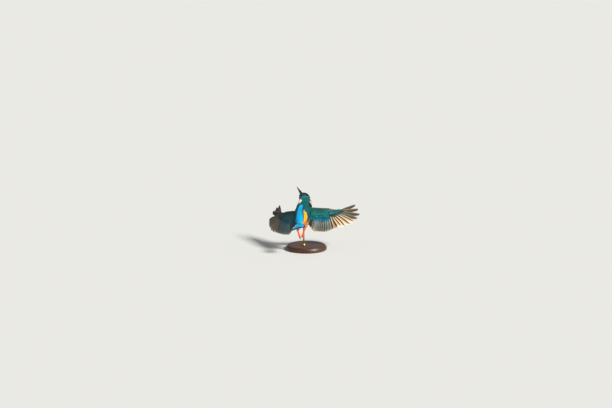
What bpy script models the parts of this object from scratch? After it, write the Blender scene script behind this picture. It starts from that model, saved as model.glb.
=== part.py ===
"""A common kingfisher climbing away from water, life size, held by a plain display stand.

The bird flies along +Y, away from a viewer who stands on -Y, with +X to its right. The origin is the
centre of the stand's underside. All lengths are metres, written as millimetres times MM.
The body is one smooth loft, parted by thin gaps into rump, trunk, neck and head. Each wing is a fan of
flight feathers drawn in a flat plane, then bent, twisted and set at the shoulder.
"""

import math

import bmesh
import bpy
import numpy as np
from mathutils import Matrix, Vector

MM = 0.001
GAP = 0.3 * MM

# Stand
BASE_RADIUS = 46 * MM
BASE_HEIGHT = 11 * MM
BASE_BEVEL = 2 * MM
COLLAR_RADIUS = 5 * MM
COLLAR_HEIGHT = 4 * MM
ROD_RADIUS = 1.8 * MM
ROD_OFFSET = Vector((3, 7)) * MM  # from the trunk's centre, seen from above

# Where the trunk's centre is held, and how each part of the body is turned (degrees)
TRUNK_CENTRE = Vector((-9, -14, 82)) * MM
BODY_POSE = {"pitch": 28, "heading": -7, "bank": 17}
HEAD_POSE = {"pitch": 14.5, "heading": 17.5, "bank": 0}
TAIL_POSE = {"pitch": 7, "heading": -12, "bank": 20}

# Stations along the trunk in the body's own axes: right, forward, up, half width, height above, depth
# below, and how far the ring is turned from the body's axes (0) to the head's (1)
TRUNK_STATIONS = [
    (0, -38, 4.5, 6.5, 3.6, 4.6, 0),
    (0, -31, 3.0, 10.5, 7.0, 9.5, 0),
    (0, -21, 1.0, 15.2, 11.2, 14.6, 0),
    (0, -9, 0.0, 18.3, 14.4, 17.8, 0),
    (0, 4, 0.0, 19.0, 15.4, 18.6, 0),
    (0, 15, 0.5, 17.8, 14.6, 16.8, 0.08),
    (1.8, 24, 2.5, 15.9, 12.8, 14.4, 0.25),
    (3.8, 32.5, 6.0, 14.1, 11.4, 12.8, 0.5),
]
# Head centre in the body's axes, then stations along the head's own axis: forward, half width, height
# above, depth below, turn
HEAD_CENTRE = Vector((3.1, 46, 11)) * MM
HEAD_STATIONS = [
    (-7.5, 11.9, 11.4, 12.2, 0.78),
    (-2, 11.6, 11.8, 11.8, 0.95),
    (3, 11.2, 11.3, 11.0, 1),
    (8.5, 9.6, 9.4, 9.3, 1),
    (13.5, 6.8, 6.5, 6.9, 1),
    (17.5, 4.5, 4.4, 4.7, 1),
    (19, 3.9, 3.9, 4.1, 1),
]
BODY_RINGS = 30
BODY_SIDES = 20
# Where the loft is parted, as ring numbers
RUMP_END = 5
TRUNK_END = 12
NECK_END = 16

# Bill
BILL_LENGTH = 38 * MM
BILL_HALF_DEPTH = 3.5 * MM
BILL_HALF_WIDTH = 3.3 * MM
BILL_TIP_RADIUS = 0.35 * MM
BILL_RINGS = 7

# Eyes, in the head's axes
EYE_RADIUS = 3.0 * MM
EYE_PLACE = Vector((7.0, 8.2, 1.8)) * MM  # right, forward, up; the left eye mirrors it

# Wings. A plane with x along the span and y towards the leading edge holds each fan.
PRIMARIES = 10
SECONDARIES = 9
TERTIALS = 3
FEATHERS = PRIMARIES + SECONDARIES + TERTIALS
HAND_TIP = (64, 1.5)  # leading edge at the hand's tip, mm
WRIST = (44, 4.0)
SHOULDER_EDGE = (-2, 1.0)
ROOT_HAND_TIP = (63, -1.5)  # where the quills start
ROOT_WRIST = (45, -3.0)
ROOT_ELBOW = (17, -12.5)
ROOT_INNER = (7, -11)
# Feather lengths in mm at these counts from the outermost feather inwards
LENGTH_AT = (0.5, 2.5, 5.5, 9.5, 17.5, 21.5)
LENGTHS = (50, 58, 53.5, 46.5, 44.5, 31)
FAN_AT = (0, 2.5, 3.5, 6.5, 10, 14, 19, 22)
COVERT_SHARE = 0.30  # the part of each flight feather that the coverts hide
HAND_THICKNESS = 2.6 * MM
ARM_THICKNESS = 7.6 * MM
FAN_THICKNESS = 0.8 * MM
SAMPLES = 4  # grid columns to a feather
TWIST_FROM = 22 * MM
TWIST_TO = 73 * MM
WING_SPAN = 118 * MM
CHORD = 50 * MM
WINGS = {
    # sweep: span turned forward; droop: span below level; lean: rear edge tilted towards the viewer
    # fan: feather directions from the span at the counts in FAN_AT; slots: depth of the notches
    "right": {
        "side": 1, "shoulder": (15.5, 16.6, 3.8), "sweep": 4.5, "droop": 8.3, "lean": -5,
        "fan": (38, -1, -13.5, -52, -79, -88, -91, -89), "twist": 58, "bend": -9.5, "camber": -4,
        "slots": 0.34,
    },
    "left": {
        "side": -1, "shoulder": (-14.6, 13.4, 4.3), "sweep": 57, "droop": 16.7, "lean": 29,
        "fan": (46, 16.5, -5, -31, -79, -92, -108, -107), "twist": 10.5, "bend": -1, "camber": -4,
        "slots": 0.40,
    },
}

# Tail
TAIL_FEATHERS = 12
TAIL_LENGTH = 37 * MM
TAIL_HALF_SPREAD = 27  # degrees
TAIL_BASE_WIDTH = 10 * MM
TAIL_ARCH = 2.2 * MM

# Legs, in world directions from the trunk's centre: right, away, up
LEGS = {
    "right": {"hip": (8.5, -8, -12), "heel": (5.0, -9, -30), "ankle": (2.8, -11.5, -38)},
    "left": {"hip": (-8.5, -8, -12), "heel": (-10.2, -9, -33), "ankle": (-8.1, -11.5, -40.5)},
}
TOE_TARGET = (-3.4, -14, -54)  # where the hanging toes come together
TIBIA_RADII = (6.2, 4.6, 2.1)
TARSUS_RADIUS = 1.65
TOE_RADII = (1.6, 1.45, 1.5, 1.3, 1.3, 0.85, 0.3)
TOE_LENGTHS = {"inner": 9.0, "middle": 12.5, "outer": 11.2, "hind": 6.5}


def axes(pitch, heading, bank):
    """Columns right, forward and up of a body pitched nose up, headed to its left and banked left."""
    turn = (
        Matrix.Rotation(math.radians(heading), 3, "Z")
        @ Matrix.Rotation(math.radians(pitch), 3, "X")
        @ Matrix.Rotation(math.radians(-bank), 3, "Y")
    )
    return np.array(turn)


BODY = axes(**BODY_POSE)
HEAD = axes(**HEAD_POSE)
TAIL = axes(**TAIL_POSE)
CENTRE = np.array(TRUNK_CENTRE)
HEAD_AT = CENTRE + BODY @ np.array(HEAD_CENTRE)


def smooth(values, count):
    """Catmull-Rom curve through the rows of values, read at count even steps."""
    rows = np.asarray(values, float)
    rows = np.vstack([2 * rows[0] - rows[1], rows, 2 * rows[-1] - rows[-2]])
    at = np.linspace(0, len(rows) - 3, count)
    k = np.minimum(at.astype(int), len(rows) - 4)
    t = (at - k)[:, None]
    a, b, c, d = rows[k], rows[k + 1], rows[k + 2], rows[k + 3]
    return 0.5 * (2 * b + (c - a) * t + (2 * a - 5 * b + 4 * c - d) * t**2 + (3 * b - a - 3 * c + d) * t**3)


def material(name, colour, roughness=0.6, metallic=0.0):
    made = bpy.data.materials.get(name)
    if made:
        return made
    made = bpy.data.materials.new(name)
    made.use_nodes = True
    shader = made.node_tree.nodes["Principled BSDF"]
    shader.inputs["Base Color"].default_value = (*colour, 1)
    shader.inputs["Roughness"].default_value = roughness
    shader.inputs["Metallic"].default_value = metallic
    return made


CROWN = ("crown_green_blue", (0.01, 0.13, 0.15))
MANTLE = ("mantle_azure", (0.0, 0.42, 0.78))
ORANGE = ("belly_rufous", (0.72, 0.25, 0.03))
COVERTS = ("wing_green_blue", (0.01, 0.16, 0.17))
QUILLS = ("flight_feather_dark", (0.05, 0.06, 0.06))
TAIL_BLUE = ("tail_deep_blue", (0.01, 0.10, 0.42))
BILL = ("bill_black", (0.01, 0.01, 0.012), 0.35)
EYE = ("eye_dark", (0.012, 0.006, 0.004), 0.08)
FOOT = ("foot_coral", (0.75, 0.07, 0.02), 0.45)
WOOD = ("stand_walnut", (0.10, 0.05, 0.025), 0.4)
BRASS = ("stand_brass", (0.78, 0.57, 0.25), 0.3, 1.0)


def add_mesh(name, points, faces, look, collection="kingfisher"):
    """One mesh object with welded points and faces turned outwards."""
    mesh = bpy.data.meshes.new(name)
    mesh.from_pydata([tuple(p) for p in points], [], faces)
    shape = bmesh.new()
    shape.from_mesh(mesh)
    bmesh.ops.remove_doubles(shape, verts=shape.verts, dist=1e-6)
    bmesh.ops.recalc_face_normals(shape, faces=shape.faces)
    shape.to_mesh(mesh)
    shape.free()
    mesh.shade_smooth()
    mesh.set_sharp_from_angle(angle=math.radians(40))
    made = bpy.data.objects.new(name, mesh)
    made.data.materials.append(material(*look))
    bpy.data.collections[collection].objects.link(made)
    return made


def loft(name, rings, look):
    """A closed solid through rings of equally many points, with a flat cap on each end."""
    count, sides = rings.shape[:2]
    faces = [
        (i * sides + j, i * sides + (j + 1) % sides, (i + 1) * sides + (j + 1) % sides, (i + 1) * sides + j)
        for i in range(count - 1)
        for j in range(sides)
    ]
    faces.append(tuple(range(sides)))
    faces.append(tuple((count - 1) * sides + j for j in range(sides)))
    return add_mesh(name, rings.reshape(-1, 3), faces, look)


def slab(name, middle, normals, half, look):
    """A closed plate: a grid of middle points, offset both ways along normals by half its thickness."""
    rows, columns = middle.shape[:2]
    offset = normals * np.asarray(half)[..., None]
    points = np.concatenate([(middle + offset).reshape(-1, 3), (middle - offset).reshape(-1, 3)])
    under = rows * columns

    def quad(i, j, shift):
        a = shift + i * columns + j
        return (a, a + 1, a + columns + 1, a + columns)

    faces = [quad(i, j, 0) for i in range(rows - 1) for j in range(columns - 1)]
    faces += [quad(i, j, under)[::-1] for i in range(rows - 1) for j in range(columns - 1)]
    rim = [j for j in range(columns)]
    rim += [i * columns + columns - 1 for i in range(1, rows)]
    rim += [(rows - 1) * columns + j for j in range(columns - 2, -1, -1)]
    rim += [i * columns for i in range(rows - 2, 0, -1)]
    faces += [(a, b, b + under, a + under) for a, b in zip(rim, rim[1:] + rim[:1])]
    return add_mesh(name, points, faces, look)


def as_cutter(thing):
    """Moves an object to the cutters' collection and hides it from renders."""
    for other in list(thing.users_collection):
        other.objects.unlink(thing)
    bpy.data.collections["cutters"].objects.link(thing)
    thing.hide_render = True
    thing.display_type = "WIRE"
    return thing


def grown(source, by):
    """A hidden copy of a solid, grown by a distance, to cut its neighbours with a gap."""
    mesh = source.data.copy()
    count = len(mesh.vertices)
    places, normals = np.empty(count * 3), np.empty(count * 3)
    mesh.vertices.foreach_get("co", places)
    mesh.vertices.foreach_get("normal", normals)
    mesh.vertices.foreach_set("co", places + normals * by)
    return as_cutter(bpy.data.objects.new(source.name + "_cutter", mesh))


def combine(target, others, operation):
    """Adds one exact Boolean for each of the other solids."""
    for other in others:
        step = target.modifiers.new(operation.lower(), "BOOLEAN")
        step.operation = operation
        step.object = other
        step.solver = "EXACT"


def body_rings(count):
    """Rings of the whole body, from the tail's root to the bill's root.

    Each ring is a superellipse across the spine: its half width and its heights above and below differ.
    """
    spine, sizes, turns = [], [], []
    for right, forward, up, wide, high, deep, turn in TRUNK_STATIONS:
        spine.append(CENTRE + BODY @ np.array([right, forward, up]) * MM)
        sizes.append((wide, high, deep))
        turns.append([turn])
    for forward, wide, high, deep, turn in HEAD_STATIONS:
        spine.append(HEAD_AT + HEAD[:, 1] * forward * MM)
        sizes.append((wide, high, deep))
        turns.append([turn])
    spine, turns = smooth(spine, count), smooth(turns, count)
    wide, high, deep = (smooth(sizes, count) * MM).T
    along = BODY[:, 1] * (1 - turns) + HEAD[:, 1] * turns
    along /= np.linalg.norm(along, axis=1, keepdims=True)
    across = BODY[:, 0] * (1 - turns) + HEAD[:, 0] * turns
    across -= along * (across * along).sum(1, keepdims=True)
    across /= np.linalg.norm(across, axis=1, keepdims=True)
    above = np.cross(across, along)
    angle = np.linspace(0, 2 * math.pi, BODY_SIDES, endpoint=False)
    power = 2 / 2.25
    x = np.sign(np.cos(angle)) * np.abs(np.cos(angle)) ** power
    y = np.sign(np.sin(angle)) * np.abs(np.sin(angle)) ** power
    height = np.where(y > 0, high[:, None], deep[:, None]) * y
    rings = spine[:, None] + across[:, None] * (wide[:, None] * x)[..., None]
    return rings + above[:, None] * height[..., None], along


def make_body():
    """The four fleshy parts of the loft, with thin gaps between them."""
    rings, along = body_rings(BODY_RINGS)
    ends = (0, RUMP_END, TRUNK_END, NECK_END, BODY_RINGS - 1)
    looks = (MANTLE, MANTLE, CROWN, CROWN)
    parts = {}
    for name, first, last, look in zip(("rump", "trunk", "neck", "head"), ends, ends[1:], looks):
        piece = rings[first : last + 1].copy()
        if first > 0:
            piece[0] += along[first] * GAP
        parts[name] = loft(name, piece, look)
    return parts


def in_head(right, forward, up):
    return HEAD_AT + HEAD @ np.array([right, forward, up])


def add_ball(name, radius, place):
    """A sphere in the kingfisher's collection."""
    bpy.ops.mesh.primitive_uv_sphere_add(segments=16, ring_count=10, radius=radius, location=place)
    ball = bpy.context.object
    ball.name = name
    ball.data.name = name
    ball.data.materials.append(material(*EYE))
    ball.data.shade_smooth()
    move_to(ball, "kingfisher")
    return ball


def move_to(thing, collection):
    for other in list(thing.users_collection):
        other.objects.unlink(thing)
    bpy.data.collections[collection].objects.link(thing)


def make_eyes(head):
    """An eyeball on each side, in a socket cut from the head."""
    sockets = []
    for name, side in (("eye_right", 1), ("eye_left", -1)):
        place = in_head(side * EYE_PLACE[0], EYE_PLACE[1], EYE_PLACE[2])
        add_ball(name, EYE_RADIUS, place)
        sockets.append(as_cutter(add_ball(name + "_socket", EYE_RADIUS + GAP, place)))
    combine(head, sockets, "DIFFERENCE")


def make_bill():
    """Upper and lower mandible: half-round sections that taper to a point, parted along the gape."""
    start = HEAD_STATIONS[-1][0] * MM + GAP
    t = np.linspace(0, 1, BILL_RINGS)
    swell = (1 - t) ** 0.92 * (1 + 0.10 * np.sin(math.pi * t))
    wide = BILL_TIP_RADIUS + (BILL_HALF_WIDTH - BILL_TIP_RADIUS) * swell
    deep = BILL_TIP_RADIUS + (BILL_HALF_DEPTH - BILL_TIP_RADIUS) * swell
    arc = np.linspace(0, math.pi, 8)
    for name, way, length in (("bill_upper", 1, BILL_LENGTH), ("bill_lower", -1, BILL_LENGTH * 0.965)):
        right = wide[:, None] * np.cos(arc)
        up = way * (GAP / 2 + deep[:, None] * np.sin(arc))
        forward = np.broadcast_to((start + t * length)[:, None], right.shape)
        loft(name, HEAD_AT + np.stack([right, forward, up], -1) @ HEAD.T, BILL)


def wing_axes(wing):
    """Columns span, leading and up of one wing, where up is the side that faces backwards."""
    sweep, droop, lean = (math.radians(wing[k]) for k in ("sweep", "droop", "lean"))
    side = wing["side"]
    span = np.array([side * math.cos(sweep), math.sin(sweep), -math.tan(droop)])
    span /= np.linalg.norm(span)
    down = np.array([0, 0, -1.0])
    down -= span * (down @ span)
    down /= np.linalg.norm(down)
    rear = np.cross(down, span) * side
    leading = -down * math.cos(lean) - rear * math.sin(lean)
    up = np.cross(span, leading) * side
    return np.stack([span, leading, up], axis=1)


def fan_at(wing, t):
    """Root, direction and length in the wing's plane of the feather at count t from the outermost."""
    outer = np.clip(t / PRIMARIES, 0, 1)
    inner = np.clip((t - PRIMARIES) / SECONDARIES, 0, 1)
    last = np.clip((t - PRIMARIES - SECONDARIES) / TERTIALS, 0, 1)
    root = np.array(ROOT_HAND_TIP) + outer[..., None] * (np.array(ROOT_WRIST) - ROOT_HAND_TIP)
    root = root + inner[..., None] * (np.array(ROOT_ELBOW) - ROOT_WRIST)
    root = root + last[..., None] * (np.array(ROOT_INNER) - ROOT_ELBOW)
    angle = np.radians(np.interp(t, FAN_AT, wing["fan"]))
    length = np.interp(t, LENGTH_AT, LENGTHS)
    return root, np.stack([np.cos(angle), np.sin(angle)], -1), length


def wing_point(wing, plane):
    """Bends the flat wing (mm) into its flying shape: twist towards the tip, span and chord curvature."""
    x, y = plane[..., 0] * MM, plane[..., 1] * MM
    reach = np.clip((x - TWIST_FROM) / (TWIST_TO - TWIST_FROM), 0, 1)
    twist = math.radians(wing["twist"]) * reach * reach * (3 - 2 * reach)
    up = wing["bend"] * MM * (x / WING_SPAN) ** 2 + wing["camber"] * MM * (y / CHORD) ** 2
    flat = np.stack([x, y * np.cos(twist), -y * np.sin(twist) + up], -1)
    shoulder = CENTRE + BODY @ np.array(wing["shoulder"]) * MM
    return shoulder + flat @ wing_axes(wing).T


def wing_normal(wing, plane):
    """Unit normals of the bent wing, on its back, from small steps in its plane."""
    step = 0.5
    along = wing_point(wing, plane + [step, 0]) - wing_point(wing, plane - [step, 0])
    across = wing_point(wing, plane + [0, step]) - wing_point(wing, plane - [0, step])
    normal = np.cross(along, across) * wing["side"]
    return normal / np.linalg.norm(normal, axis=-1, keepdims=True)


def leading_edge(t):
    """The leading edge of the fleshy wing, from the hand's tip by the wrist to the shoulder."""
    counts = (0, PRIMARIES, FEATHERS)
    edge = np.array([HAND_TIP, WRIST, SHOULDER_EDGE], float)
    return np.stack([np.interp(t, counts, edge[:, 0]), np.interp(t, counts, edge[:, 1])], -1)


def make_flesh(name, wing, first, last, columns):
    """The thick front of the wing with its coverts, between two feather counts."""
    t = np.linspace(first, last, columns)
    root, way, length = fan_at(wing, t)
    end = root + way * (length * COVERT_SHARE)[:, None]
    c = np.array([0, 0.08, 0.22, 0.42, 0.68, 1.0])
    plane = leading_edge(t)[None] * (1 - c)[:, None, None] + end[None] * c[:, None, None]
    thick = np.interp(t, (0, PRIMARIES, FEATHERS), (HAND_THICKNESS, HAND_THICKNESS * 1.6, ARM_THICKNESS))
    shape = 2.35 * np.sqrt(c) * (1 - c)
    half = FAN_THICKNESS / 2 + 0.5 * thick[None] * shape[:, None]
    return slab(name, wing_point(wing, plane), wing_normal(wing, plane), half, COVERTS)


def make_fan(name, wing, first, last, slots, rows, look):
    """A row of flight feathers joined into one plate whose edge has a tip for each feather."""
    t = np.linspace(first, last, (last - first) * SAMPLES + 1)
    inside = t.copy()
    inside[0] += 0.03
    inside[-1] -= 0.03
    root, way, length = fan_at(wing, inside)
    from_tip = np.abs(t % 1 - 0.5) * 2
    reach = length * (1 - slots(t) * from_tip**1.6)
    covered = length * COVERT_SHARE + GAP / MM
    share = np.linspace(0, 1, rows) ** 0.9
    along = covered[None] + share[:, None] * (reach - covered)[None]
    plane = root[None] + way[None] * along[..., None]
    half = np.full(plane.shape[:2], FAN_THICKNESS / 2)
    return slab(name, wing_point(wing, plane), wing_normal(wing, plane), half, look)


def make_wing(side, wing, trunk_cutter):
    """Arm, hand, primaries, secondaries and tertials of one wing."""
    hand_gap = 0.045
    hand = make_flesh(f"wing_{side}_hand", wing, 0, PRIMARIES - hand_gap, 11)
    arm = make_flesh(f"wing_{side}_arm", wing, PRIMARIES + hand_gap, FEATHERS, 13)

    def hand_slots(t):
        return wing["slots"] * np.clip(1.25 - t / PRIMARIES, 0.25, 1)

    def arm_slots(t):
        return np.full(t.shape, 0.10)

    arm_end = PRIMARIES + SECONDARIES
    make_fan(f"wing_{side}_primaries", wing, 0, PRIMARIES, hand_slots, 5, QUILLS)
    inner = [
        make_fan(f"wing_{side}_secondaries", wing, PRIMARIES, arm_end, arm_slots, 4, QUILLS),
        make_fan(f"wing_{side}_tertials", wing, arm_end, FEATHERS, arm_slots, 4, COVERTS),
    ]
    for piece in (arm, *inner):
        combine(piece, [trunk_cutter], "DIFFERENCE")
    return hand, arm


def make_tail(cutter):
    """A fan of tail feathers with one rounded tip each, higher along its middle line."""
    t = np.linspace(0, TAIL_FEATHERS, TAIL_FEATHERS * 2 + 1)
    place = t / TAIL_FEATHERS * 2 - 1
    angle = np.radians(TAIL_HALF_SPREAD) * place
    from_tip = np.abs(t % 1 - 0.5) * 2
    reach = TAIL_LENGTH * (1 - 0.05 * place**2) * (1 - 0.05 * from_tip**2)
    share = np.linspace(0, 1, 4)
    along = share[:, None] * reach[None]
    right = place[None] * TAIL_BASE_WIDTH / 2 + along * np.sin(angle)[None]
    back = along * np.cos(angle)[None] - 2.5 * MM
    up = -TAIL_ARCH * (right / (TAIL_LENGTH / 2)) ** 2
    root = CENTRE + BODY @ np.array([0, TRUNK_STATIONS[0][1], TRUNK_STATIONS[0][2] + 1.2]) * MM
    middle = root + np.stack([right, -back, up], -1) @ TAIL.T
    normal = np.broadcast_to(TAIL[:, 2], middle.shape)
    tail = slab("tail", middle, normal, np.full(middle.shape[:2], FAN_THICKNESS / 2), TAIL_BLUE)
    combine(tail, [cutter], "DIFFERENCE")


def tube_rings(path, radii, sides=8):
    """Round rings across a path, with the radius at each of its points."""
    path, radii = np.asarray(path, float), np.asarray(radii, float)
    along = np.gradient(path, axis=0)
    along /= np.linalg.norm(along, axis=1, keepdims=True)
    across = np.cross(along, [0.95, 0.3, 0.1])
    across /= np.linalg.norm(across, axis=1, keepdims=True)
    other = np.cross(along, across)
    angle = np.linspace(0, 2 * math.pi, sides, endpoint=False)
    ring = across[:, None] * np.cos(angle)[:, None] + other[:, None] * np.sin(angle)[:, None]
    return path[:, None] + ring * radii[:, None, None]


def toe_path(ankle, target, sideways, length, curl):
    """A toe from the ankle towards the target, spread sideways and curled at its end (mm)."""
    ahead = np.array(target, float) - ankle
    ahead /= np.linalg.norm(ahead)
    away = np.array([0, 1.0, 0.25])
    t = np.linspace(0, 1, 7)[:, None]
    return ankle + ahead * length * t + np.array([1.0, 0, 0]) * sideways * t + away * curl * t**2.2


def make_leg(side, leg, cutters):
    """Feathered tibia, then one foot: tarsus and four toes with their claws."""
    hip, heel, ankle = (np.array(leg[k], float) for k in ("hip", "heel", "ankle"))
    t = np.linspace(0, 1, 6)
    radii = np.interp(t, (0, 0.55, 1), TIBIA_RADII)
    thigh_path = hip + (heel - hip) * t[:, None]
    thigh = loft(f"leg_{side}_thigh", CENTRE + tube_rings(thigh_path, radii, 12) * MM, ORANGE)
    combine(thigh, cutters, "DIFFERENCE")
    tarsus_path = heel + (ankle - heel) * np.linspace(-0.1, 1.1, 5)[:, None]
    tarsus_radii = TARSUS_RADIUS * np.array([1.15, 0.95, 0.92, 1.05, 1.1])
    foot = loft(f"leg_{side}_foot", CENTRE + tube_rings(tarsus_path, tarsus_radii) * MM, FOOT)
    way = 1 if side == "right" else -1
    toes = (
        ("inner", -2.0 * way, -2.2),
        ("middle", -0.2 * way, -2.6),
        ("outer", 1.6 * way, -2.0),
        ("hind", 0.3 * way, 4.2),
    )
    pieces = []
    for name, sideways, curl in toes:
        path = toe_path(ankle, TOE_TARGET, sideways, TOE_LENGTHS[name], curl)
        toe = loft(f"{side}_{name}_toe", CENTRE + tube_rings(path, TOE_RADII) * MM, FOOT)
        pieces.append(as_cutter(toe))
    combine(foot, pieces, "UNION")
    combine(foot, [grown(thigh, GAP)], "DIFFERENCE")


def add_cylinder(name, radius, low, high, at, look, bevel=0.0, sides=48):
    bpy.ops.mesh.primitive_cylinder_add(
        vertices=sides, radius=radius, depth=high - low, location=(at[0], at[1], (low + high) / 2)
    )
    made = bpy.context.object
    made.name = name
    made.data.name = name
    made.data.materials.append(material(*look))
    made.data.shade_smooth()
    made.data.set_sharp_from_angle(angle=math.radians(40))
    move_to(made, "kingfisher")
    if bevel:
        edge = made.modifiers.new("rim", "BEVEL")
        edge.width = bevel
        edge.segments = 2
    return made


def make_stand(trunk_cutter):
    """A round base, a collar on it and one rod up to the belly."""
    foot = TRUNK_CENTRE.xy + ROD_OFFSET
    add_cylinder("stand_base", BASE_RADIUS, 0, BASE_HEIGHT, (0, 0), WOOD, BASE_BEVEL)
    low = BASE_HEIGHT + GAP
    collar_top = low + COLLAR_HEIGHT
    collar = add_cylinder("stand_collar", COLLAR_RADIUS, low, collar_top, foot, BRASS, 0.6 * MM, 24)
    rod = add_cylinder("stand_rod", ROD_RADIUS, low, TRUNK_CENTRE.z, foot, BRASS, 0, 16)
    bore_top = BASE_HEIGHT + 3 * COLLAR_HEIGHT
    bore = add_cylinder("collar_bore", ROD_RADIUS + GAP, 0, bore_top, foot, BRASS, 0, 16)
    combine(collar, [as_cutter(bore)], "DIFFERENCE")
    combine(rod, [trunk_cutter], "DIFFERENCE")


def main():
    for thing in list(bpy.data.objects):
        bpy.data.objects.remove(thing)
    for name in ("kingfisher", "cutters"):
        bpy.context.scene.collection.children.link(bpy.data.collections.new(name))
    parts = make_body()
    make_eyes(parts["head"])
    make_bill()
    trunk_cutter = grown(parts["trunk"], GAP)
    rump_cutter = grown(parts["rump"], GAP)
    for side, wing in WINGS.items():
        make_wing(side, wing, trunk_cutter)
    make_tail(rump_cutter)
    for side, leg in LEGS.items():
        make_leg(side, leg, [trunk_cutter, rump_cutter])
    make_stand(trunk_cutter)


main()
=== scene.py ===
"""A common kingfisher climbing away from water, life size, held by a plain display stand.

One skin carries a coat of small closed vanes: every contour feather is a thin shell laid on the skin
by two numbers, its place along the spine and its angle round it. Wings and tail are fans of larger
vanes drawn in a flat plane and bent into shape. Lengths in the tables are millimetres.
"""

import math
from types import SimpleNamespace

import bmesh
import bpy
import numpy as np
from bpy.props import FloatProperty, FloatVectorProperty, IntProperty, PointerProperty
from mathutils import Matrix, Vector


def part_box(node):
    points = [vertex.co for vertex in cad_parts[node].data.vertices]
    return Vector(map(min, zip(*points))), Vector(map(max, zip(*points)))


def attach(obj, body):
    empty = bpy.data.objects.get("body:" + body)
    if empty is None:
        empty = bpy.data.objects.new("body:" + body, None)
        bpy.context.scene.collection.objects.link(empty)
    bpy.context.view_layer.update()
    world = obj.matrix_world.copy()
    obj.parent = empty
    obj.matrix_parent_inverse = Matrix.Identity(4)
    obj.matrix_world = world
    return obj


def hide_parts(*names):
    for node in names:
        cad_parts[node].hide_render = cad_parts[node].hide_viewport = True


bl_info = {
    "name": "Kingfisher on a stand",
    "version": (1, 0, 0),
    "blender": (4, 5, 0),
    "location": "3D View > Sidebar > Kingfisher",
    "description": "Feathers, skin, bill, eyes, feet and stand of a flying kingfisher",
    "category": "Mesh",
}

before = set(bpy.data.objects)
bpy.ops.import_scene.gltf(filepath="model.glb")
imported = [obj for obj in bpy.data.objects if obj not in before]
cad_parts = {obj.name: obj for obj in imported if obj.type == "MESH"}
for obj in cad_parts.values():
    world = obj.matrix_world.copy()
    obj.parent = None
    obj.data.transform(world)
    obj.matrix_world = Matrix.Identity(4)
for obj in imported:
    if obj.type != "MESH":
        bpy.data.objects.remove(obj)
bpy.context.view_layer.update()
MM = 0.001

# Where the trunk's centre is held and how each part of the body is turned, as in the CAD frame
TRUNK_CENTRE = (-9, -14, 82)
BODY_POSE = (28, -7, 17)  # pitch, heading, bank, degrees
HEAD_POSE = (14.5, 17.5, 0)
TAIL_POSE = (7, -12, 20)
# right, forward, up, half width, height above, depth below, turn towards the head's axes
TRUNK_STATIONS = [
    (0, -38, 4.5, 6.5, 3.6, 4.6, 0),
    (0, -31, 3.0, 10.5, 7.0, 9.5, 0),
    (0, -21, 1.0, 15.2, 11.2, 14.6, 0),
    (0, -9, 0.0, 18.3, 14.4, 17.8, 0),
    (0, 4, 0.0, 19.0, 15.4, 18.6, 0),
    (0, 15, 0.5, 17.8, 14.6, 16.8, 0.08),
    (1.8, 24, 2.5, 15.9, 12.8, 14.4, 0.25),
    (3.8, 32.5, 6.0, 14.1, 11.4, 12.8, 0.5),
]
HEAD_CENTRE = (3.1, 46, 11)
# forward along the head's axis, half width, height above, depth below, turn
HEAD_STATIONS = [
    (-7.5, 11.9, 11.4, 12.2, 0.78),
    (-2, 11.6, 11.8, 11.8, 0.95),
    (3, 11.2, 11.3, 11.0, 1),
    (8.5, 9.6, 9.4, 9.3, 1),
    (13.5, 6.8, 6.5, 6.9, 1),
    (17.5, 4.5, 4.4, 4.7, 1),
    (19, 3.9, 3.9, 4.1, 1),
]
# Stations over the tail's root that only its coverts follow: back along the tail, half width, height
# above, depth below. They are numbered -1, -2, ... so that station 0 is the trunk's last.
TAIL_STATIONS = [
    (7, 8.8, 2.8, 3.3),
    (15, 12.4, 1.8, 2.3),
    (24, 15.8, 1.3, 1.6),
    (33, 18.8, 0.9, 1.1),
]
TAIL_ROOT = (0, -38, 5.7)
RING_POWER = 2.25  # of the superellipse that a section of the body is

# The bill starts ahead of the head's centre; its tip is a half thickness. The eye's place is right,
# forward and up from the head's centre.
BILL_START, BILL_LENGTH, BILL_TIP = 19.3, 38, 0.35
BILL_HALF_WIDTH, BILL_HALF_DEPTH = 3.3, 3.5
EYE_RADIUS, EYE_PLACE = 3.0, (7.0, 8.2, 1.8)

# Wings are drawn flat with x along the span and y towards the leading edge. Feathers are counted
# inwards from the wing's tip: 10 primaries, 9 secondaries, 3 tertials, and past count 22 the long
# scapulars that close the wing against the body. Each table holds counts, then what is read at them.
QUILL_ROOTS = (0, 10, 19, 22, 26), ((63, -1.5), (45, -3.0), (17, -12.5), (7, -11), (-3, -7))
FRONT_EDGE = (0, 10, 22, 26), ((64, 1.5), (44, 4.0), (-2, 1.0), (-11, 0))
LENGTHS = (0.5, 2.5, 5.5, 9.5, 17.5, 21.5, 25.5), (50, 58, 53.5, 46.5, 44.5, 31, 30)
FLESH_THICK = (0, 10, 22), (2.6, 4.16, 7.6)
FAN_AT = (0, 2.5, 3.5, 6.5, 10, 14, 19, 22, 26)  # the counts of each wing's fan of angles
FAN_COUNT, FAN_ENDS = 26, (0.05, 25.95)  # all counts, and the first and last that can be read
COVERT_SHARE = 0.30  # how far down the flight feathers the coverts' bases reach
PLATE = 0.8  # thickness of the feathered plate behind the flesh
TWIST_FROM, TWIST_TO, WING_SPAN, CHORD = 22, 73, 118, 50
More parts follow.
